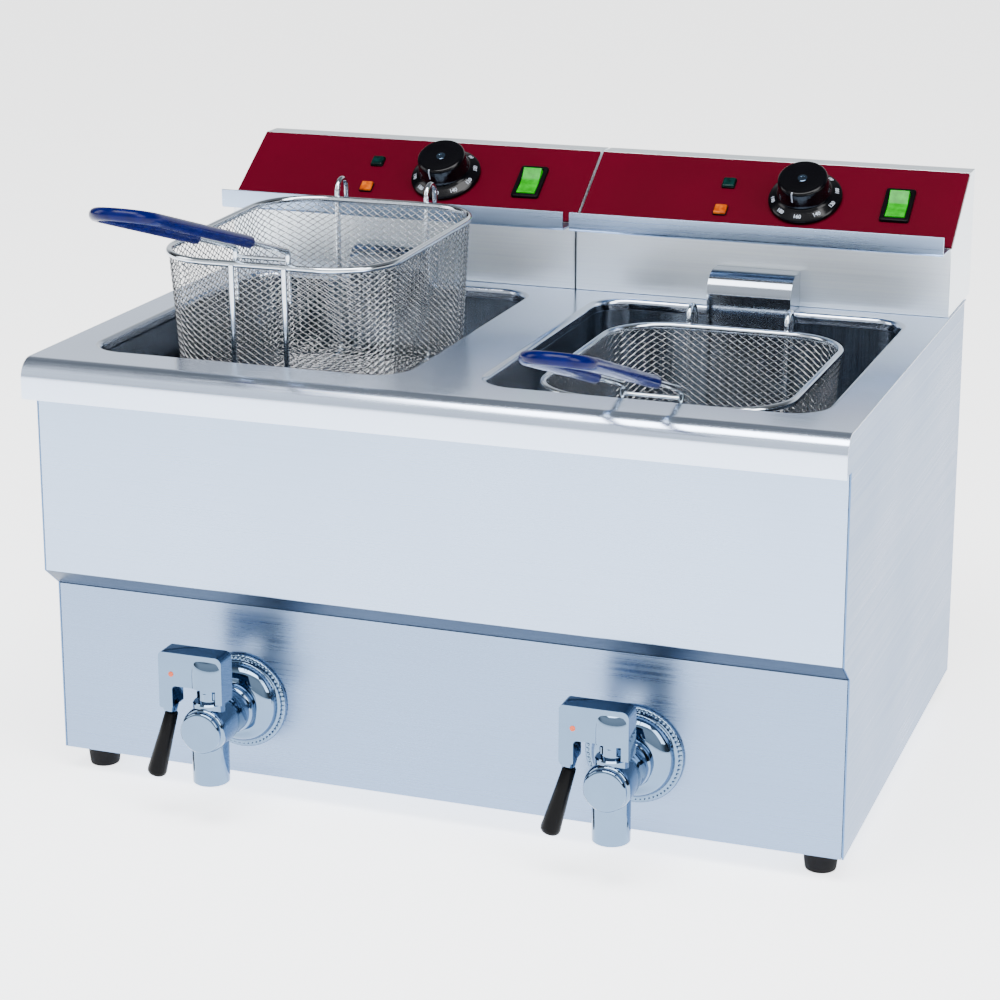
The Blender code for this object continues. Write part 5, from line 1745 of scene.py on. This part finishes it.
@dataclass
class Studio:
    """Pale floor, soft lights, bright surroundings and the camera."""

    eye: Vector = Vector((0.6135, -1.6782, 0.7564))
    yaw: float = math.radians(19.8)
    pitch: float = math.radians(14.974)
    lens: float = 94.15
    shift: float = -0.1
    brightness: float = 1.3
    floor_reach: float = 14.0
    floor_glow: float = 2.4
    softboxes: tuple[tuple[str, Vector, tuple[float, float], float], ...] = (
        ("softbox_over", Vector((0.2, -0.9, 2.4)), (2.2, 1.2), 115.0),
        ("softbox_right", Vector((2.0, -1.0, 1.5)), (1.0, 1.6), 45.0),
        ("softbox_left", Vector((-2.2, -0.6, 1.3)), (1.0, 1.4), 22.0))
    sky: tuple[tuple[float, float], ...] = ((0.0, 0.8), (0.1, 1.0), (0.24, 1.0), (0.36, 0.35),
                                            (0.5, 0.14), (0.8, 0.2), (0.88, 0.9),
                                            (1.0, 1.0))

    def build_camera(self) -> None:
        """Place the camera and make it the scene's own."""
        data = bpy.data.cameras.new("camera")
        data.lens = self.lens
        data.sensor_width = 36.0
        data.shift_y = self.shift
        camera = bpy.data.objects.new("camera", data)
        bpy.context.scene.collection.objects.link(camera)
        ahead = Vector((-math.sin(self.yaw) * math.cos(self.pitch),
                        math.cos(self.yaw) * math.cos(self.pitch), -math.sin(self.pitch)))
        camera.rotation_mode = "QUATERNION"
        camera.rotation_quaternion = ahead.to_track_quat("-Z", "Y")
        camera.location = self.eye
        bpy.context.scene.camera = camera

    def build_floor(self) -> None:
        """Lay the pale floor."""
        bench = NodeBench("floor_pale")
        cloud = bench.noise((1.0, 1.0, 1.0), 3.0, 2.0)
        bench.colour(bench.ramp(cloud, ((0.3, (0.86, 0.87, 0.88)), (0.7, (0.88, 0.89, 0.9)))))
        bench.roughness(bench.spread(cloud, 0.7, 0.8))
        bench.set(Emission_Strength=self.floor_glow, Specular_IOR_Level=0.1)
        bench.shader.inputs["Emission Color"].default_value = (1.0, 1.0, 1.0, 1.0)
        mesh = bpy.data.meshes.new("floor")
        reach = self.floor_reach
        mesh.from_pydata([(-reach, -reach, 0.0), (reach, -reach, 0.0), (reach, reach, 0.0),
                          (-reach, reach, 0.0)], [], [(0, 1, 2, 3)])
        mesh.materials.append(bench.material)
        floor = bpy.data.objects.new("floor", mesh)
        bpy.context.scene.collection.objects.link(floor)

    def build_world(self) -> None:
        """Surround the scene with bright walls, a darker band overhead and behind, and darker
        sides.
        """
        world = bpy.data.worlds.new("surroundings")
        world.use_nodes = True
        bpy.context.scene.world = world
        nodes, links = world.node_tree.nodes, world.node_tree.links
        background = nodes["Background"]
        coords = nodes.new("ShaderNodeTexCoord")
        parts = nodes.new("ShaderNodeSeparateXYZ")
        links.new(coords.outputs["Generated"], parts.inputs["Vector"])

        def math_node(kind: str, *sources: Any) -> bpy.types.NodeSocket:
            """Return the result of a sum over sockets or plain numbers."""
            node = nodes.new("ShaderNodeMath")
            node.operation = kind
            for socket, source in zip(node.inputs, sources):
                if isinstance(source, float):
                    socket.default_value = source
                else:
                    links.new(source, socket)
            return node.outputs["Value"]

        forward = math_node("MULTIPLY", parts.outputs["Y"], -1.0)
        over = math_node("ARCTAN2", parts.outputs["Z"], forward)
        turn = math_node("DIVIDE", over, math.pi)
        ramp = nodes.new("ShaderNodeValToRGB")
        marks = ramp.color_ramp.elements
        for _ in range(len(self.sky) - 2):
            marks.new(0.5)
        for mark, (place, shade) in zip(marks, self.sky):
            mark.position = place
            mark.color = (shade * 0.94, shade * 0.97, shade, 1.0)
        links.new(turn, ramp.inputs["Fac"])
        aside = nodes.new("ShaderNodeMapRange")
        aside.inputs["From Min"].default_value = 0.62
        aside.inputs["From Max"].default_value = 0.9
        aside.inputs["To Min"].default_value = 1.0
        aside.inputs["To Max"].default_value = 0.12
        links.new(math_node("ABSOLUTE", parts.outputs["X"]), aside.inputs["Value"])
        links.new(ramp.outputs["Color"], background.inputs["Color"])
        links.new(math_node("MULTIPLY", aside.outputs["Result"], self.brightness),
                  background.inputs["Strength"])

    def add_softbox(self, name: str, place: Vector, size: tuple[float, float],
                    power: float) -> None:
        """Hang one rectangular soft light that looks at the fryer.

        Args:
            name: The light's name.
            place: Where it hangs.
            size: Its width and height.
            power: Its power in watts.
        """
        data = bpy.data.lights.new(name, "AREA")
        data.shape = "RECTANGLE"
        data.size, data.size_y = size
        data.energy = power
        lamp = bpy.data.objects.new(name, data)
        bpy.context.scene.collection.objects.link(lamp)
        lamp.location = place
        aim = Vector((0.0, 0.0, 0.2)) - place
        lamp.rotation_mode = "QUATERNION"
        lamp.rotation_quaternion = aim.to_track_quat("-Z", "Y")

    def build(self) -> None:
        """Build the studio."""
        self.build_camera()
        self.build_floor()
        self.build_world()
        for softbox in self.softboxes:
            self.add_softbox(*softbox)


def main() -> None:
    """Load the frame, build every sub-assembly around it, and log how many pieces each has."""
    logging.basicConfig(level=logging.INFO, format="%(name)s: %(message)s")
    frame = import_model()
    lip_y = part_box("top_plate")[0].y
    palette = Palette.mix()
    Studio().build()
    LOG.info("cabinet: %d pieces", Cabinet(frame, palette, lip_y).build())
    baskets = {Side.LEFT: (*LEFT_HOOKS, LEFT_TILT), Side.RIGHT: (*RIGHT_HOOKS, 0.0)}
    for side in Side:
        LOG.info("tap %s: %d pieces", side.value, DrainTap(frame, palette, side).build())
        LOG.info("head %s: %d pieces", side.value, Head(frame, palette, side, lip_y).build())
        LOG.info("dial %s: %d pieces", side.value, Dial(frame, palette, side).build())
        depth, height, tilt = baskets[side]
        tips = Vector((side.middle_x, lip_y + depth, height))
        LOG.info("basket %s: %d pieces", side.value,
                 Basket(frame, palette, side, tips, tilt).build())


if __name__ == "__main__":
    main()
